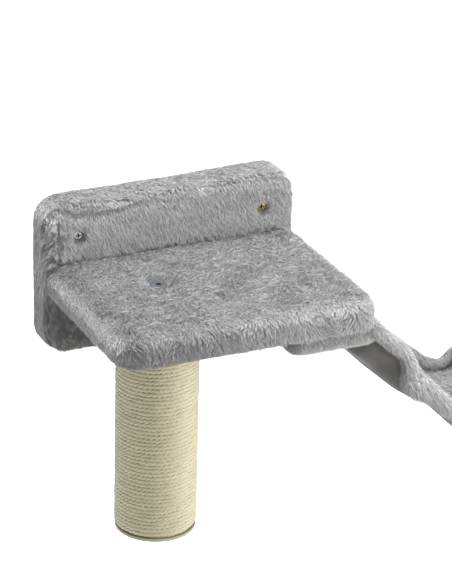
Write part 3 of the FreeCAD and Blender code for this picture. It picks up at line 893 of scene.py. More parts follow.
@dataclass
class PlushShelf:
    """One shelf: a back plate and a platform, both in plush, and the hammock's end board under it.

    Sizes are in millimetres. Places along the wall are given as on the left shelf, from its middle.
    """

    side: Side
    centre_x: float
    outward: float
    with_bolt: bool
    density: float
    seed: int
    width: float = 268.0
    back_top: float = 35.0
    back_bottom: float = -125.0
    back_depth: float = 40.0
    back_corner: float = 24.0
    back_round: float = 11.0
    rear_face: float = -2.0
    platform_top: float = -25.0
    platform_under: float = PLATFORM_UNDER
    platform_front: float = -232.0
    platform_rear: float = -39.5
    outer_corner: float = 25.0
    inner_corner: float = 18.0
    rear_corner: float = 13.0
    brim_round: float = 11.0
    end_near: float = 43.0
    end_far: float = SLING_START
    end_front: float = SLING_Y - SLING_HALF
    end_rear: float = SLING_Y + SLING_HALF
    end_under: float = -84.0
    end_inset: float = 3.5
    folded: float = 34.0
    cloth: float = 1.4
    pile_depth: float = 0.8
    overhang: float = 0.9
    puff: float = 3.0
    droop: float = 8.0
    tuck: float = 9.0
    tuck_length: float = 7.0
    pieces: list[Piece] = field(default_factory=list)

    def named(self, name: str) -> str:
        """A piece's name on this side."""
        return f"{self.side.value}_{name}"

    def across(self, x: float) -> float:
        """Where a place along the wall is on this shelf."""
        return self.centre_x + self.outward * x

    def span(self, a: float, b: float) -> tuple[float, float]:
        """Two such places, the lower first."""
        low, high = sorted((self.across(a), self.across(b)))
        return low, high

    def inward(self, points: Rows) -> Rows:
        """How far points lie from the shelf's middle towards the hammock."""
        return self.outward * (points[:, 0] - self.centre_x)

    def outer_end(self, inset: float) -> float:
        """A place along the wall, a distance in from the shelf's outer end."""
        return inset - self.width / 2

    def back_skin(self) -> Piece:
        """The plate's ground cloth, folded round onto the rear face."""
        inset = self.pile_depth
        half = self.width / 2 + self.overhang
        low, high = self.span(-half, half)
        bottom, top = self.back_bottom + inset, self.back_top - inset
        front = inset - self.back_depth
        name = self.named("back_plush_ground")
        skin = box_between(name, (low, front, bottom), (high, self.rear_face, top))
        round_edges(skin, runs_along(1), self.back_corner)
        round_edges(skin, lies_at(1, front), self.back_round)
        round_edges(skin, lies_at(1, self.rear_face), 2.2)
        soften(skin, *PADDING)
        points = points_of(skin)
        inward = np.clip(self.inward(points) / half, 0, 1)
        points[:, 2] += self.puff * inward * np.clip(0.5 + points[:, 2] / 60.0, 0, 1)
        set_points(skin, points)
        for x in WALL_SCREWS:
            dent(skin, (self.across(x), SCREW_FACE + 2.0, 0.0), 1, 4.0, 9.0)
        border = self.folded - inset

        def inside(centre: Vector, normal: Vector) -> bool:
            level = low + border < centre.x < high - border
            plumb = bottom + border < centre.z < top - border
            return centre.y > self.rear_face - 6.0 and normal.y > 0.6 and level and plumb

        remove_faces(skin, inside)
        return skin

    def platform_skin(self) -> Piece:
        """The platform's ground cloth, folded round onto its underside."""
        inset = self.pile_depth
        half = self.width / 2 - self.overhang / 2
        low, high = self.span(-half, half)
        front, rear = self.platform_front, self.platform_rear
        under, top = self.platform_under + 1.2, self.platform_top - inset
        skin = box_between(self.named("platform_plush_ground"), (low, front, under), (high, rear, top))

        def corner(at_front: bool, inner: bool) -> EdgeTest:
            def test(first: Vector, last: Vector) -> bool:
                ahead = first.y < (front + rear) / 2
                inward = self.outward * (first.x - self.centre_x) > 0
                return runs_along(2)(first, last) and ahead == at_front and inward == inner

            return test

        def brim(first: Vector, last: Vector) -> bool:
            return lies_at(2, top)(first, last) and min(first.y, last.y) < rear - 0.5

        round_edges(skin, corner(True, False), self.outer_corner)
        round_edges(skin, corner(True, True), self.inner_corner)
        round_edges(skin, corner(False, True), self.rear_corner)
        round_edges(skin, brim, self.brim_round)
        round_edges(skin, lies_at(1, rear), 3.0)
        round_edges(skin, lies_at(2, under), 4.5)
        soften(skin, *PADDING)
        points = points_of(skin)
        fallen = np.clip(-self.inward(points) / half * 5.0 - 4.0, 0, 1)
        points[:, 2] -= self.droop * fallen**2.2 * progress(points[:, 2], under, top)
        flank = progress(np.abs(self.inward(points)), half - self.tuck_length, half)
        points[:, 1] += self.tuck * flank * progress(points[:, 1], rear - self.tuck_length, rear)
        set_points(skin, points)
        if self.with_bolt:
            dent(skin, (POST_X, POST_Y, -30.0), 2, BOLT_RADIUS + 0.5, BOLT_RADIUS + 7.5)
        border = self.folded + 2.0 - inset

        def inside(centre: Vector, normal: Vector) -> bool:
            level = low + border < centre.x < high - border
            deep = front + border < centre.y < rear - 18.5
            return normal.z < -0.6 and level and deep

        remove_faces(skin, inside)
        return skin

    def end_skin(self) -> Piece:
        """The ground cloth of the end board that the hammock hangs from."""
        near, far = self.across(self.end_near + 6.0), self.across(self.end_far - 2.5)
        under = self.end_under + self.end_inset
        front, rear = self.end_front + 4.0, self.end_rear - 4.0
        low_corner = (min(near, far), front, under)
        high_corner = (max(near, far), rear, self.platform_under - 0.5)
        skin = box_between(self.named("end_board_plush_ground"), low_corner, high_corner)

        def inner_corner(first: Vector, last: Vector) -> bool:
            return runs_along(2)(first, last) and abs(first.x - near) < SAME_PLACE

        round_edges(skin, inner_corner, 12.0)
        round_edges(skin, lies_at(2, under), 8.0)
        soften(skin, 3.5, 1.6, 30.0)
        return skin

    def trim_back(self, zone: Zone) -> Trim:
        """Strand lengths on one zone of the plate: its face, its front edges, or its other sides.

        Args:
            zone: The zone.

        Returns:
            The trim.
        """

        def trim(roots: Rows, normals: Rows) -> Rows:
            inward, height = self.inward(roots), roots[:, 2]
            ahead = -normals[:, 1]
            face = ahead > FLAT
            share = in_zone(zone, face, ahead > 0.25)
            rear = ahead < -0.3
            share[rear] *= 0.28
            share[rear & (np.random.default_rng(self.seed).random(len(roots)) < 0.4)] = 0.0
            covered = (height > self.platform_under + 3) & (height < self.platform_top - 5)
            covered &= (roots[:, 1] < -24) & (np.abs(inward) < self.width / 2 - 16)
            share[covered] = 0.0
            for x in WALL_SCREWS:
                far = np.hypot(roots[:, 0] - self.across(x), height)
                share[face] *= progress(far[face], 4.4, 8.5)
            share *= 1 - 0.75 * self.crease(roots) * (ahead > 0.3)
            proud = np.clip(0.35 - inward / 110.0, 0, 1) * bell(height, self.back_top - 2.0, 3.0)
            share *= 1 + 0.5 * proud * (ahead > 0.1)
            share[face] *= 1 - 0.25 * progress(inward[face], 0.0, self.width / 2)
            share *= 1 - 0.8 * self.parting(roots) * (ahead > 0.2)
            share[self.on_fringe(roots, normals)] = 0.0
            corner = (inward < self.outer_end(18.0)) & (ahead > 0.15)
            share[corner] *= 1.35 + 0.3 * self.ripple(EDGE_LOCK, 2).at(roots[corner])
            seam = face & (height < self.platform_top + 5) & (height > self.platform_top - 8)
            share[seam] *= 1.2 + 0.7 * self.ripple(SEAM_LOCK, 7).at(roots[seam])
            return share

        return trim

    def ripple(self, length: float, number: int) -> Ripple:
        """One of this shelf's own random fields."""
        return Ripple(length, self.seed + number)

    def on_fringe(self, roots: Rows, normals: Rows) -> Rows:
        """Where the plate's outer front edge stands in loose tufts above the platform."""
        tall = (roots[:, 2] > self.platform_top - 3.0) & (roots[:, 2] < self.back_top - 13.0)
        return tall & (self.inward(roots) < self.outer_end(12.0)) & (normals[:, 1] < -0.12)

    def trim_fringe(self, roots: Rows, normals: Rows) -> Rows:
        """Strand lengths of those tufts."""
        share = 1.15 + 0.4 * self.ripple(EDGE_LOCK, 2).at(roots)
        return np.where(self.on_fringe(roots, normals), share, 0.0)

    def crease(self, roots: Rows) -> Rows:
        """How strongly the plate's plush parts below its top edge, from 0 to 1, most at its outer end."""
        line = self.back_top - 8.5 + 1.6 * self.ripple(34.0, 3).at(roots)
        return np.clip(0.4 - self.inward(roots) / 120.0, 0.0, 1.0) * bell(roots[:, 2], line, 3.2)

    def parting(self, roots: Rows) -> Rows:
        """How strongly the plate's plush parts along its outer end, from 0 to 1."""
        line = self.outer_end(12.0) + 2.0 * self.ripple(26.0, 5).at(roots)
        return progress(roots[:, 2], 12.0, 4.0) * bell(self.inward(roots), line, 2.6)

    def painted_light_and_shade_back(self, roots: Rows, normals: Rows) -> Rows:
        """Painted light and shade on the plate's plush: paler at its outer end and darker at its inner end,
        painted shade on top, below the platform, where it parts, at its outer corner and along the seam, and
        painted light on its outer flank beside the platform.
        """
        inward, height, ahead = self.inward(roots), roots[:, 2], -normals[:, 1]
        # Painted light and shade across the face: paler at the outer end, darker at the inner end
        shade = np.clip(-inward / (self.width / 2), -1, 1) * 0.16 * (ahead > 0.7)
        # Painted shade on faces that point up
        shade -= 0.55 * np.clip(normals[:, 2], 0, 1)
        # Painted shadow below the platform
        below = progress(height, self.platform_under + 4.0, self.platform_under - 8.0)
        shade -= 0.45 * below * np.where(ahead > 0.3, 1.0, 0.3)
        # Painted shade in the partings and along the crease
        shade -= (0.6 * self.parting(roots) + 0.4 * self.crease(roots)) * (ahead > 0.2)
        # Painted shade on the outer front corner
        shade -= 0.3 * ((inward < self.outer_end(22.0)) & (height > 0.0) & (ahead > 0.15))
        # Painted light on the outer flank beside the platform
        beside = bell(height, (self.platform_top + self.platform_under) / 2, 20.0)
        shade += 0.25 * (self.outward * normals[:, 0] < -0.5) * beside
        # Painted shade along the seam with the platform, broken into locks
        seam = progress(height, self.platform_top + 6.0, self.platform_top) * (ahead > 0.3)
        return shade - seam * (0.25 - 0.3 * self.ripple(SEAM_LOCK, 7).at(roots))

    def painted_light_and_shade_platform(self, roots: Rows, normals: Rows) -> Rows:
        """Painted light and shade on the platform's plush: painted shade along its front edge's outer end,
        towards the plate, on its sloped brim, round the bolt and along the seam, and painted light on its
        outer side.
        """
        front = np.clip(-normals[:, 1] * 1.5, 0, 1)
        out = -self.outward * normals[:, 0]
        # Painted shade along the front edge, most at its outer end
        shade = -front * progress(self.inward(roots), 60.0, -80.0) * 0.55
        # Painted shade towards the plate
        shade -= 0.1 * progress(roots[:, 1], -80.0, -50.0)
        # Painted light on the outer side face
        side = np.clip(out * 1.5 - 0.2, 0, 1) * np.clip(1 - 1.5 * normals[:, 2], 0, 1)
        shade += 0.3 * side * (1 - front)
        # Painted shade on the sloped brim
        slope = np.clip(1.6 * normals[:, 2], 0, 1)
        shade -= slope * (0.45 * np.clip(1.6 * out, 0, 1) * (1 - front) + 0.25 * front)
        # Painted shade round the bolt
        if self.with_bolt:
            shade -= 0.35 * np.exp(-((from_bolt(roots) / 19.0) ** 4))
        # Painted shade along the seam with the plate, broken into locks
        seam = progress(roots[:, 1], -48.0, -43.0) * (normals[:, 2] > 0.5)
        return shade - seam * (0.25 - 0.3 * self.ripple(SEAM_LOCK, 8).at(roots))

    def trim_platform(self, zone: Zone) -> Trim:
        """Strand lengths on one zone of the platform: its top, its front edge, or its flanks and underside.

        Args:
            zone: The zone.

        Returns:
            The trim.
        """

        def trim(roots: Rows, normals: Rows) -> Rows:
            inward, depth, upward = self.inward(roots), roots[:, 1], normals[:, 2]
            top = upward > FLAT
            edge = (normals[:, 1] < -0.3) & (upward > -0.5) & ~top
            share = in_zone(zone, top, edge)
            share[(depth > self.platform_rear - 0.5) & (np.abs(normals[:, 0]) < 0.6)] = 0.0
            seam = (depth > self.platform_rear - 8.5) & top
            share[seam] *= 0.95 + 0.5 * self.ripple(SEAM_LOCK, 8).at(roots[seam])
            hem = edge & (roots[:, 2] < self.platform_under + 11.0)
            share[hem] *= 1 - 0.55 * progress(inward[hem], 10.0, -80.0)
            under = upward < -0.5
            share[under] *= 0.55
            on_end = (depth < self.end_rear - 4) & (depth > self.end_front + 8)
            on_end &= inward > self.end_near + 3
            thin = np.random.default_rng(self.seed + 1).random(len(roots)) < 0.35
            share[under & (on_end | thin)] = 0.0
            if self.with_bolt:
                far = from_bolt(roots)
                pressed = np.clip(0.1 + (far - (BOLT_RADIUS + 0.5)) / 8.0, 0.0, 1.0)
                share *= np.where(far < BOLT_RADIUS + 0.1, 0.0, pressed)
            return share

        return trim

    def trim_end(self, roots: Rows, normals: Rows) -> Rows:
        """Strand lengths on the end board, bare where it meets the platform and the hammock."""
        share = np.full(len(roots), 0.85)
        share[normals[:, 2] > 0.4] = 0.0
        end = self.outward * normals[:, 0] > 0.7
        share[end] = np.where(roots[end, 2] > self.end_under + 5.0, 0.6, 0.0)
        return share

    def build(self, ground: Material, plush: Material) -> None:
        """Builds the plush of this shelf and puts it on the shelves' body.

        Args:
            ground: The finish of the ground cloth.
            plush: The finish of the pile.
        """
        hung = Pile(density=self.density, comb=(0.25, -0.3, -0.9))
        laid = Pile(density=self.density, root_lean=50.0, comb=(0.12, -0.75, -0.7))
        # Each plan ends with the painted light and shade for its piles
        plans = (
            ("back", self.back_skin(), hung, self.trim_back, self.painted_light_and_shade_back),
            ("platform", self.platform_skin(), laid, self.trim_platform, self.painted_light_and_shade_platform),
        )
        splayed = (-0.75 * self.outward, -0.55, -0.3)
        fringe = replace(hung.loosened(), root_lean=26.0, tip_lean=58.0, comb=splayed)
        name = self.named("back_fringe_pile")
        # The fringe takes the plate's painted light and shade
        self.add(fringe.grow(name, plans[0][1], self.seed + 70, self.trim_fringe, self.painted_light_and_shade_back), plush)
        for number, (part, skin, pile, trims, shade) in enumerate(plans):
            for order, zone in enumerate(Zone):
                kind = {Zone.EDGE: pile.loosened(), Zone.FLANK: pile.smoothed()}.get(zone, pile)
                seed = self.seed + number * 40 + order * 10
                name = self.named(f"{part}_{zone.value}_pile")
                self.add(kind.grow(name, skin, seed, trims(zone), shade), plush)
            self.add_ground(skin, f"{part}_cover", ground)
        skin = self.end_skin()
        thin = replace(hung, density=self.density * 0.8)
        self.add(thin.grow(self.named("end_board_pile"), skin, self.seed + 90, self.trim_end), plush)
        self.add_ground(skin, "end_board_cover", ground, closed=True)

    def add(self, piece: Piece, material: Material) -> None:
        """Dresses a piece and lets it ride with the shelves."""
        dress(piece, material)
        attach(piece, "shelves")
        self.pieces.append(piece)

    def add_ground(self, skin: Piece, node: str, ground: Material, closed: bool = False) -> None:
        """Finishes a ground cloth and lets it stand for its solid.

        Args:
            skin: The cloth.
            node: The solid's name without its side.
            ground: Its finish.
            closed: True if the cloth has no opening.
        """
        if not closed:
            thicken(skin, self.cloth)
        self.add(skin, ground)
        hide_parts(self.named(node))


@dataclass
class SisalPost:
    """The scratching post's rope, wound from the cap up to the platform."""

    x: float = POST_X
    y: float = POST_Y
    bottom: float = -288.9
    top: float = -51.2
    tube_radius: float = 37.3
    rope: float = 4.85
    pitch: float = 4.2
    steps: int = 280
    sides: int = 10
    strand_count: int = 3
    lay_length: float = 15.0
    core: float = 0.60
    ridge: float = 0.44
    pressed: float = 1.2
    parts: int = 3

    def middle(self) -> float:
        """Distance from the post's axis to the rope's middle."""
        return self.tube_radius + self.pitch / 2

    def winding(self, name: str, low: float, turns: int) -> Piece:
        """One stretch of the winding, spun from the rope's section by a Screw modifier.

        Args:
            name: The piece's name.
            low: Height of its first turn's middle, in millimetres.
            turns: How many turns it has.

        Returns:
            The rope, with its three strands and its own map.
        """
        clear_selection()
        bpy.ops.mesh.primitive_circle_add(
            vertices=self.sides, radius=self.rope / 2 * MM, location=(0.0, 0.0, 0.0))
        piece = bpy.context.object
        piece.name = name
        middle = self.middle()
        with editing(piece, everything=True):
            bpy.ops.transform.rotate(
                value=math.radians(90), orient_axis="X", center_override=(0.0, 0.0, 0.0))
            bpy.ops.transform.translate(value=(middle * MM, 0.0, 0.0))
        apply_modifier(
            piece, "SCREW", axis="Z", angle=math.tau, steps=self.steps, render_steps=self.steps,
            screw_offset=self.pitch * MM, iterations=turns, use_normal_calculate=True)
        self.twist(piece, low, middle)
        close_ends(piece)
        shade_smooth(piece)
        self.unroll(piece, low, turns)
        return piece

    def turn_of(self, points: Rows) -> tuple[Rows, Rows]:
        """Each point's angle round the post, from 0 to a whole turn, and its distance from the axis."""
        return np.mod(np.arctan2(points[:, 1], points[:, 0]), math.tau), np.hypot(points[:, 0], points[:, 1])

    def twist(self, piece: Piece, low: float, middle: float) -> None:
        """Presses three twisted strands into the round rope and moves it to the post."""
        points = points_of(piece)
        angle, out = self.turn_of(points)
        wound = np.arange(len(points)) // self.sides / self.steps
        turn = np.floor(wound + 0.001)
        height = points[:, 2] - wound * self.pitch
        round_it = np.arctan2(height, out - middle)
        along = wound * math.tau * middle
        spot = np.stack([along, turn * 40, low + 0 * along], axis=1)
        wander = 0.55 * Ripple(44.0, 70).at(spot)
        lay = round_it - along * math.tau / self.lay_length + wander
        lobe = np.abs(np.cos(self.strand_count / 2 * lay))
        uneven = Ripple(9.0, 71).at(spot)
        size = self.core + self.ridge * lobe**0.8 + 0.045 * uneven
        flat = np.abs(np.cos(round_it)) ** -0.35
        reach, rise = (out - middle) * size * np.clip(flat, 1.0, 1.5), height * size * self.pressed
        shift = Ripple(60.0, 72).at(spot) * 0.18
        radius = middle + reach + shift * 0.5
        points[:, 0] = self.x + radius * np.cos(angle)
        points[:, 1] = self.y + radius * np.sin(angle)
        points[:, 2] += rise - height + shift + low
        set_points(piece, points)
        groove = piece.data.attributes.new(GROOVE, "FLOAT", "POINT")
        groove.data.foreach_set("value", lobe.astype(np.float32))

    def unroll(self, piece: Piece, low: float, turns: int) -> None:
        """Maps each turn as one row, so that fibres run along the rope."""
        mesh = piece.data
        points = points_of(piece) - np.array([self.x, self.y, low])
        angle, out = self.turn_of(points)
        pitch = self.pitch
        index = gathered(mesh.loops, "vertex_index", 1, np.int32).ravel()
        starts = gathered(mesh.polygons, "loop_start", 1, np.int32).ravel()
        face = np.searchsorted(starts, np.arange(len(index)), side="right") - 1
        share = angle[index] / math.tau
        wrap = np.zeros(len(starts))
        np.maximum.at(wrap, face, share)
        share = np.where((wrap[face] > 0.9) & (share < 0.1), share + 1, share)
        turn = np.round(points[index, 2] / pitch - share)
        turn = np.clip(turn, 0, turns - 1)
        height = points[index, 2] - (turn + share) * pitch
        middle = self.middle()
        around = np.arctan2(height, middle - out[index]) / math.tau + 0.5
        far = np.zeros(len(starts))
        np.maximum.at(far, face, around)
        around = np.where((far[face] > 0.8) & (around < 0.2), around + 1, around)
        layer = mesh.uv_layers.new(name=PILE_MAP)
        spots = np.stack([share * 0.98 + 0.005, (turn + around * 0.9) / (turns + 0.3)], axis=1)
        layer.data.foreach_set("uv", spots.astype(np.float32).ravel())

    def build(self, sisal: Material) -> list[Piece]:
        """Winds the rope in a few stretches and lets them stand for the solids."""
        pitch = self.pitch
        whole = int((self.top - self.bottom - self.rope) / pitch)
        ends = [whole * part // self.parts for part in range(self.parts + 1)]
        made = []
        for part, (first, last) in enumerate(zip(ends, ends[1:])):
            low = self.bottom + self.rope / 2 + first * pitch
            piece = self.winding(f"sisal_rope_{part + 1}", low, last - first)
            dress(piece, sisal)
            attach(piece, "shelves")
            made.append(piece)
        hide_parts("sisal_winding")
        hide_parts("sisal_sleeve")
        return made


@dataclass
class Hammock:
    """The plush sling: a sagging bed, two rolled hems and a smooth lining, in two halves.

    Lengths are in millimetres. Each loss of sag has its start and its end along the rim, and its amount.
    """

    start_x: float = SLING_START
    start_z: float = PLATFORM_UNDER
    middle_x: float = SHELF_SPACING / 2
    middle_y: float = SLING_Y
    half_width: float = SLING_HALF
    slope: float = 44.0
    turn_radius: float = 46.0
    hem: float = 16.0
    bed_reach: float = 66.0
    bed_drop: float = 5.0
    lining_reach: float = 68.0
    lining_drop: float = 8.5
    hem_lead: float = 14.0
    hem_round: tuple[float, float] = (5.2, 6.0)
    hem_growth: tuple[float, float] = (0.8, 5.5)
    hem_sink: float = 5.0
    hem_proud: float = 2.0
    exit_sag: float = 22.0
    full_sag: float = 31.0
    sag_run: float = 18.0
    sag_losses: tuple[Triple, ...] = ((55.0, 95.0, 11.0), (85.0, 125.0, 8.0))
    dip_depth: float = 12.0
    dip_along: tuple[float, float] = (45.0, 90.0)
    dip_across: tuple[float, float] = (20.0, -70.0)
    bed_thickness: float = 2.5
    lining_thickness: float = 1.6
    lining_welt: float = 1.1
    sway_z: float = -71.5
    sway_reach: float = 60.0

    def rim(self, distance: Rows) -> tuple[Rows, Rows, Rows]:
        """The rim line of the left half.

        Args:
            distance: Distances along it in millimetres, from the exit.

        Returns:
            X, Z and the downward angle in radians at each.
        """
        angle = math.radians(self.slope)
        straight = self.straight()
        run = np.minimum(distance, straight)
        turn = np.clip((distance - straight) / self.turn_radius, 0, angle)
        lean = angle - turn
        x = self.start_x + run * math.cos(angle)
        z = self.start_z - run * math.sin(angle)
        x = x + self.turn_radius * (math.sin(angle) - np.sin(lean))
        z = z - self.turn_radius * (np.cos(lean) - math.cos(angle))
        return x, z, lean

    def straight(self) -> float:
        """The length of the line before it turns."""
        angle = math.radians(self.slope)
        return (self.middle_x - self.start_x - self.turn_radius * math.sin(angle)) / math.cos(angle)

    def half_length(self) -> float:
        """The rim's length from the exit to mid-span."""
        return self.straight() + self.turn_radius * math.radians(self.slope)

    def sag(self, distance: Rows) -> Rows:
        """How far the trough's floor lies below its sides."""
        gain = self.full_sag - self.exit_sag
        depth = self.exit_sag + gain * progress(distance, 0.0, self.sag_run)
        for start, end, loss in self.sag_losses:
            depth = depth - loss * eased(progress(distance, start, end))
        return depth

    def hollow(self, v: Rows, reach: float) -> Rows:
        """The trough's section, 0 at its sides and 1 along its floor."""
        return 1 - np.abs(v / reach) ** 6

    def dip(self, distance: Rows, v: Rows) -> Rows:
        """How far the front of the sling hangs below its rim line."""
        along, across = progress(distance, *self.dip_along), progress(v, *self.dip_across)
        return self.dip_depth * eased(along) * eased(across)

    def placed(self, distance: Rows, v: Rows, w: Rows, side: Side) -> Rows:
        """Points of the sling.

        Args:
            distance: Distances along the rim line.
            v: Places across it.
            w: Heights square to it.
            side: Which half.

        Returns:
            The points in millimetres.
        """
        x, z, lean = self.rim(distance)
        w = w - self.dip(distance, v)
        x = x + np.sin(lean) * w
        z = z + np.cos(lean) * w
        if side is Side.RIGHT:
            x = 2 * self.middle_x - x
        return np.stack([x, self.middle_y + v, z], axis=1)

    def grid(self, name: str, along: int, across: int) -> tuple[Piece, Rows, Rows]:
        """Adds a grid to be draped.

        Args:
            name: The piece's name.
            along: Divisions along the line.
            across: Divisions across it.

        Returns:
            The grid, and each vertex's share along and across, from 0 to 1.
        """
        clear_selection()
        bpy.ops.mesh.primitive_grid_add(x_subdivisions=along, y_subdivisions=across, size=1.0)
        piece = bpy.context.object
        piece.name = name
        flat = points_of(piece) * MM
        return piece, flat[:, 0] + 0.5, flat[:, 1] + 0.5

    def sheet(self, name: str, side: Side, drop: float, reach: float, welt: float) -> Piece:
        """A curved sheet that follows the bed.

        Args:
            name: The piece's name.
            side: Which half.
            drop: How far it lies below the rim line at its sides.
            reach: Its half width.
            welt: How far a seam stands out along its sides.

        Returns:
            The open sheet.
        """
        piece, along, across = self.grid(name, 64, 60)
        distance = along * self.half_length()
        v = np.sin((across - 0.5) * math.pi) * reach
        floor = self.hollow(v, reach)
        w = -drop - self.sag(distance) * floor
        v = v + np.sign(v) * welt * bell(floor, 0.4, 0.06)
        points = self.placed(distance, v, w, side)
        folds = Ripple(46.0, 81).at(points) * 1.2 * progress(distance, 0.0, 60.0)
        points[:, 2] += folds
        set_points(piece, points)
        self.face_up(piece)
        return piece

    def face_up(self, piece: Piece) -> None:
        """Turns an open sheet's faces upwards."""
        with editing(piece, everything=True):
            bpy.ops.mesh.normals_make_consistent(inside=False)
        total = sum(polygon.normal.z * polygon.area for polygon in piece.data.polygons)
        if total < 0:
            with editing(piece, everything=True):
                bpy.ops.mesh.flip_normals()
        shade_smooth(piece)

    def rear_lift(self, distance: Rows, side: Side) -> Rows:
        """How far the rear hem stands above the rim line, most of all on the right half.

        Args:
            distance: Distances along the rim line.
            side: Which half.

        Returns:
            The lift in millimetres.
        """
        lift = progress(distance, 110.0, 170.0) * 4.0
        if side is Side.RIGHT:
            last = np.clip((self.half_length() - distance) / 14.0, 0, 1)
            lift += progress(distance, 120.0, 160.0) * last * 5.0
        return lift

    def hem_skin(self, name: str, side: Side, rim: Rim) -> Piece:
        """The ground cloth of a rolled hem, closed at both ends.

        Args:
            name: The piece's name.
            side: Which half.
            rim: Which edge it runs along.

        Returns:
            The roll.
        """
        piece, along, across = self.grid(name, 72, 26)
        distance = along * (self.half_length() + self.hem_lead) - self.hem_lead
        turn = across * math.tau
        fold = progress(distance, 52.0, 82.0)
        fold = eased(fold) if rim is Rim.FRONT else fold * 0.25
        fold = fold * (1 - 0.7 * progress(distance, 88.0, 123.0))
        lift = self.rear_lift(distance, side) if rim is Rim.REAR else 0.0
        half_v, half_w = (size + gain * fold for size, gain in zip(self.hem_round, self.hem_growth))
        centre_v = rim.value * (self.half_width - self.hem / 2)
        v = centre_v + half_v * np.cos(turn)
        w = self.hem_proud + lift - self.hem / 2 - self.hem_sink * fold + half_w * np.sin(turn)
        points = self.placed(distance, v, w, side)
        points += (Ripple(34.0, 83).at(points) * 0.9)[:, None] * np.array([0.0, 0.6, 0.8])
        joined = np.abs(across - 1) < 1e-6
        first = np.abs(across) < 1e-6
        points[joined] = points[first]
        set_points(piece, points)
        with editing(piece, everything=True):
            bpy.ops.mesh.remove_doubles(threshold=0.00002)
        close_ends(piece)
        shade_smooth(piece)
        return piece

    def blend(self, piece: Piece) -> None:
        """Bakes one half's cloth's placing into its mesh."""
        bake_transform(piece)

    def painted_shade_sling(self, roots: Rows, normals: Rows) -> Rows:
        """Painted shade on the sling's plush: darker where it faces up, most of all along the rear rim."""
        rear = progress(roots[:, 1], self.middle_y, self.middle_y + 70.0)
        return -0.42 * np.clip(normals[:, 2] * 1.3, 0, 1) - 0.25 * rear

    def build_half(self, side: Side, plush: Material, ground: Material, lining: Material) -> list[Piece]:
        """Builds one half of the sling.

        Args:
            side: Which half.
            plush: The pile's finish.
            ground: The ground cloth's finish.
            lining: The lining's finish.

        Returns:
            Its pieces.
        """
        seed = 300 if side is Side.LEFT else 400
        made = []
        bed = self.sheet(f"hammock_{side.value}_bed", side, self.bed_drop, self.bed_reach, 0.0)
        short = Pile(density=1.9, length=6.0, root_lean=48, tip_lean=74, gather=0.3, comb=(0.2, -0.5, -0.6))
        # The bed's pile takes the sling's painted shade
        bed_pile = short.grow(f"hammock_{side.value}_bed_pile", bed, seed, shade=self.painted_shade_sling)
        thicken(bed, self.bed_thickness)
        dress(bed, ground)
        name = f"hammock_{side.value}_lining"
        cloth = self.sheet(name, side, self.lining_drop, self.lining_reach, self.lining_welt)
        thicken(cloth, self.lining_thickness)
        dress(cloth, lining)
        made += [bed, bed_pile, cloth]
        tufted = Pile(
            density=2.3, length=6.6, root_lean=42, tip_lean=70, tuft=2.0, gather=0.38,
            comb=(0.3, -0.3, -0.9))
        for number, rim in enumerate(Rim):
            kind = tufted if rim is Rim.FRONT else tufted.smoothed()
            name = f"hammock_{side.value}_{rim.name.lower()}_hem"
            skin = self.hem_skin(name, side, rim)
            # Each hem's pile takes the sling's painted shade
            tufts = kind.grow(name + "_pile", skin, seed + 20 + number * 20, shade=self.painted_shade_sling)
            dress(skin, ground)
            dress(tufts, plush)
            made += [skin, tufts]
        dress(bed_pile, plush)
        for piece in made:
            self.blend(piece)
        return made

    def build(self, plush: Material, ground: Material, lining: Material) -> list[Piece]:
        """Builds both halves and lets them stand for the solids."""
        made = []
        for side in Side:
            made += self.build_half(side, plush, ground, lining)
        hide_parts("hammock_bed")
        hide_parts("hammock_backing")
        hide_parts("hammock_front_hem")
        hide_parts("hammock_rear_hem")
        return made


@dataclass
class Hardware:
    """Boards and fasteners that keep their solids and get their finishes."""

    def build(self) -> list[str]:
        """Gives each remaining solid its finish and names them."""
        kinds = (
            ("_board_screws", ZINC), ("_staples", ZINC), ("_shelf_screws", ZINC),
            ("screw_brass", YELLOW_SCREW), ("screw_zinc", ZINC_SCREW), ("wall_screws", ZINC_SCREW),
            ("_board", CHIPBOARD), ("dowels", TURNED), ("plug", TURNED), ("insert", BRASS),
            ("post_bolt", STEEL), ("post_washer", STEEL), ("post_tube", CARD), ("end_cap", CAP),
        )
        made = {finish: finish.material() for finish in dict.fromkeys(finish for _, finish in kinds)}
        dressed = []
        for name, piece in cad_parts.items():
            for ending, finish in kinds:
                if ending in name and "cover" not in name:
                    dress(piece, made[finish])
                    dressed.append(name)
                    break
        return dressed


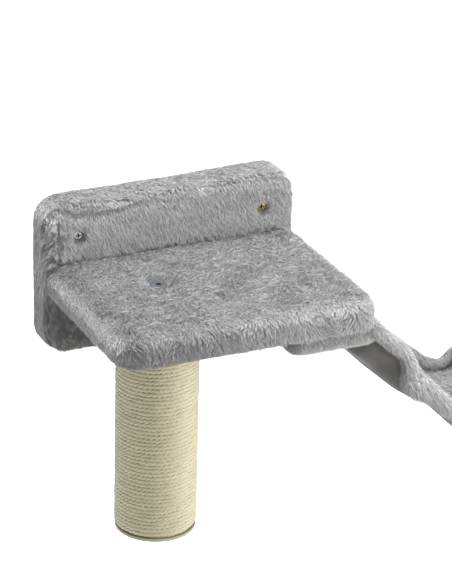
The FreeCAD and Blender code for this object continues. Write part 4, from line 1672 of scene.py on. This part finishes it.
@dataclass
class Studio:
    """The floor, the light and the camera."""

    target: Triple = (0.1923, 0.2351, -0.2250)
    azimuth: float = -25.5
    elevation: float = 24.4
    roll: float = 1.5
    distance: float = 3.1121
    lens: float = 167.9
    sensor: float = 36.0
    floor: float = -1.3
    lit: Triple = (0.2, -0.1, -0.1)

    def camera(self) -> None:
        """A camera at the photograph's view."""
        turn, lift, roll = (math.radians(x) for x in (self.azimuth, self.elevation, self.roll))
        back = Vector((math.sin(turn) * math.cos(lift), -math.cos(turn) * math.cos(lift), math.sin(lift)))
        right = (-back).cross(Vector((0, 0, 1))).normalized()
        up = right.cross(-back)
        tilted = right * math.cos(roll) + up * math.sin(roll)
        up = up * math.cos(roll) - right * math.sin(roll)
        clear_selection()
        bpy.ops.object.camera_add()
        camera = bpy.context.object
        spot = Vector(self.target) + back * self.distance
        rows = [(tilted[i], up[i], back[i], spot[i]) for i in range(3)]
        camera.matrix_world = Matrix((*rows, (0, 0, 0, 1)))
        camera.data.sensor_width = self.sensor
        camera.data.lens = self.lens
        camera.data.clip_end = 100.0
        bpy.context.scene.camera = camera

    def lamp(self, name: str, spot: Triple, size: float, power: float, shade: Triple) -> None:
        """A soft square lamp that faces the object."""
        clear_selection()
        bpy.ops.object.light_add(type="AREA", location=spot)
        lamp = bpy.context.object
        lamp.name = name
        lamp.data.size = size
        lamp.data.energy = power
        lamp.data.color = shade
        aim = Vector(self.lit) - Vector(spot)
        lamp.rotation_euler = aim.to_track_quat("-Z", "Y").to_euler()

    def ground(self) -> None:
        """A plain pale floor well below, seen from above only and brighter behind the object."""
        clear_selection()
        bpy.ops.mesh.primitive_grid_add(
            x_subdivisions=8, y_subdivisions=8, size=40.0, location=(0, 0, self.floor))
        floor = bpy.context.object
        floor.name = "floor"
        recipe = Recipe("pale_floor")
        recipe.value("Base Color", (0.75, 0.75, 0.75, 1.0))
        recipe.value("Roughness", 0.9)
        recipe.value("Emission Color", (1.0, 1.0, 1.0, 1.0))
        away = recipe.split(recipe.place(turn=(0.0, 0.0, -math.radians(self.azimuth)))).outputs["Y"]
        recipe.follow("Emission Strength", recipe.between(away, 0.3, 1.0), 0.0, 0.4)
        clear = recipe.node("BsdfTransparent")
        geometry = recipe.node("NewGeometry")
        mixed = recipe.node("MixShader")
        recipe.join(geometry.outputs["Backfacing"], mixed.inputs[0])
        recipe.join(recipe.shader.outputs[0], mixed.inputs[1])
        recipe.join(clear.outputs[0], mixed.inputs[2])
        output = next(node for node in recipe.tree.nodes if node.type == "OUTPUT_MATERIAL")
        recipe.join(mixed.outputs[0], output.inputs["Surface"])
        dress(floor, recipe.material)

    def build(self) -> None:
        """Sets the whole studio."""
        world = bpy.data.worlds.new("studio")
        world.use_nodes = True
        sky = world.node_tree.nodes["Background"].inputs
        sky["Color"].default_value = (1.0, 1.0, 1.0, 1.0)
        sky["Strength"].default_value = 1.0
        bpy.context.scene.world = world
        bpy.context.scene.view_settings.view_transform = "Standard"
        self.lamp("overhead", (0.3, 0.1, 2.6), 1.8, 386.0, (1.0, 1.0, 1.0))
        self.lamp("right_key", (1.0, -0.8, 0.0), 0.5, 23.0, (1.0, 0.99, 0.97))
        self.ground()
        self.camera()


def main() -> None:
    """Builds every sub-assembly and reports its pieces."""
    logging.basicConfig(level=logging.INFO, format="%(message)s")
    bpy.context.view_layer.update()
    Studio().build()
    plush, ground, lining, sisal = (finish.material() for finish in (PLUSH, GROUND_WITH_GAP_SHADE, LINING_WITH_PAINTED_SHADE, SISAL))
    shelves = (
        PlushShelf(Side.LEFT, centre_x=0.0, outward=1.0, with_bolt=True, density=2.3, seed=100),
        PlushShelf(
            Side.RIGHT, centre_x=SHELF_SPACING, outward=-1.0, with_bolt=False, density=1.35, seed=200),
    )
    for shelf in shelves:
        shelf.build(ground, plush)
        for piece in shelf.pieces:
            report(piece)
    for piece in SisalPost().build(sisal):
        report(piece)
    for piece in Hammock().build(plush, ground, lining):
        report(piece)
    for name in Hardware().build():
        log.info("%s: solid kept", name)


if __name__ == "__main__":
    main()
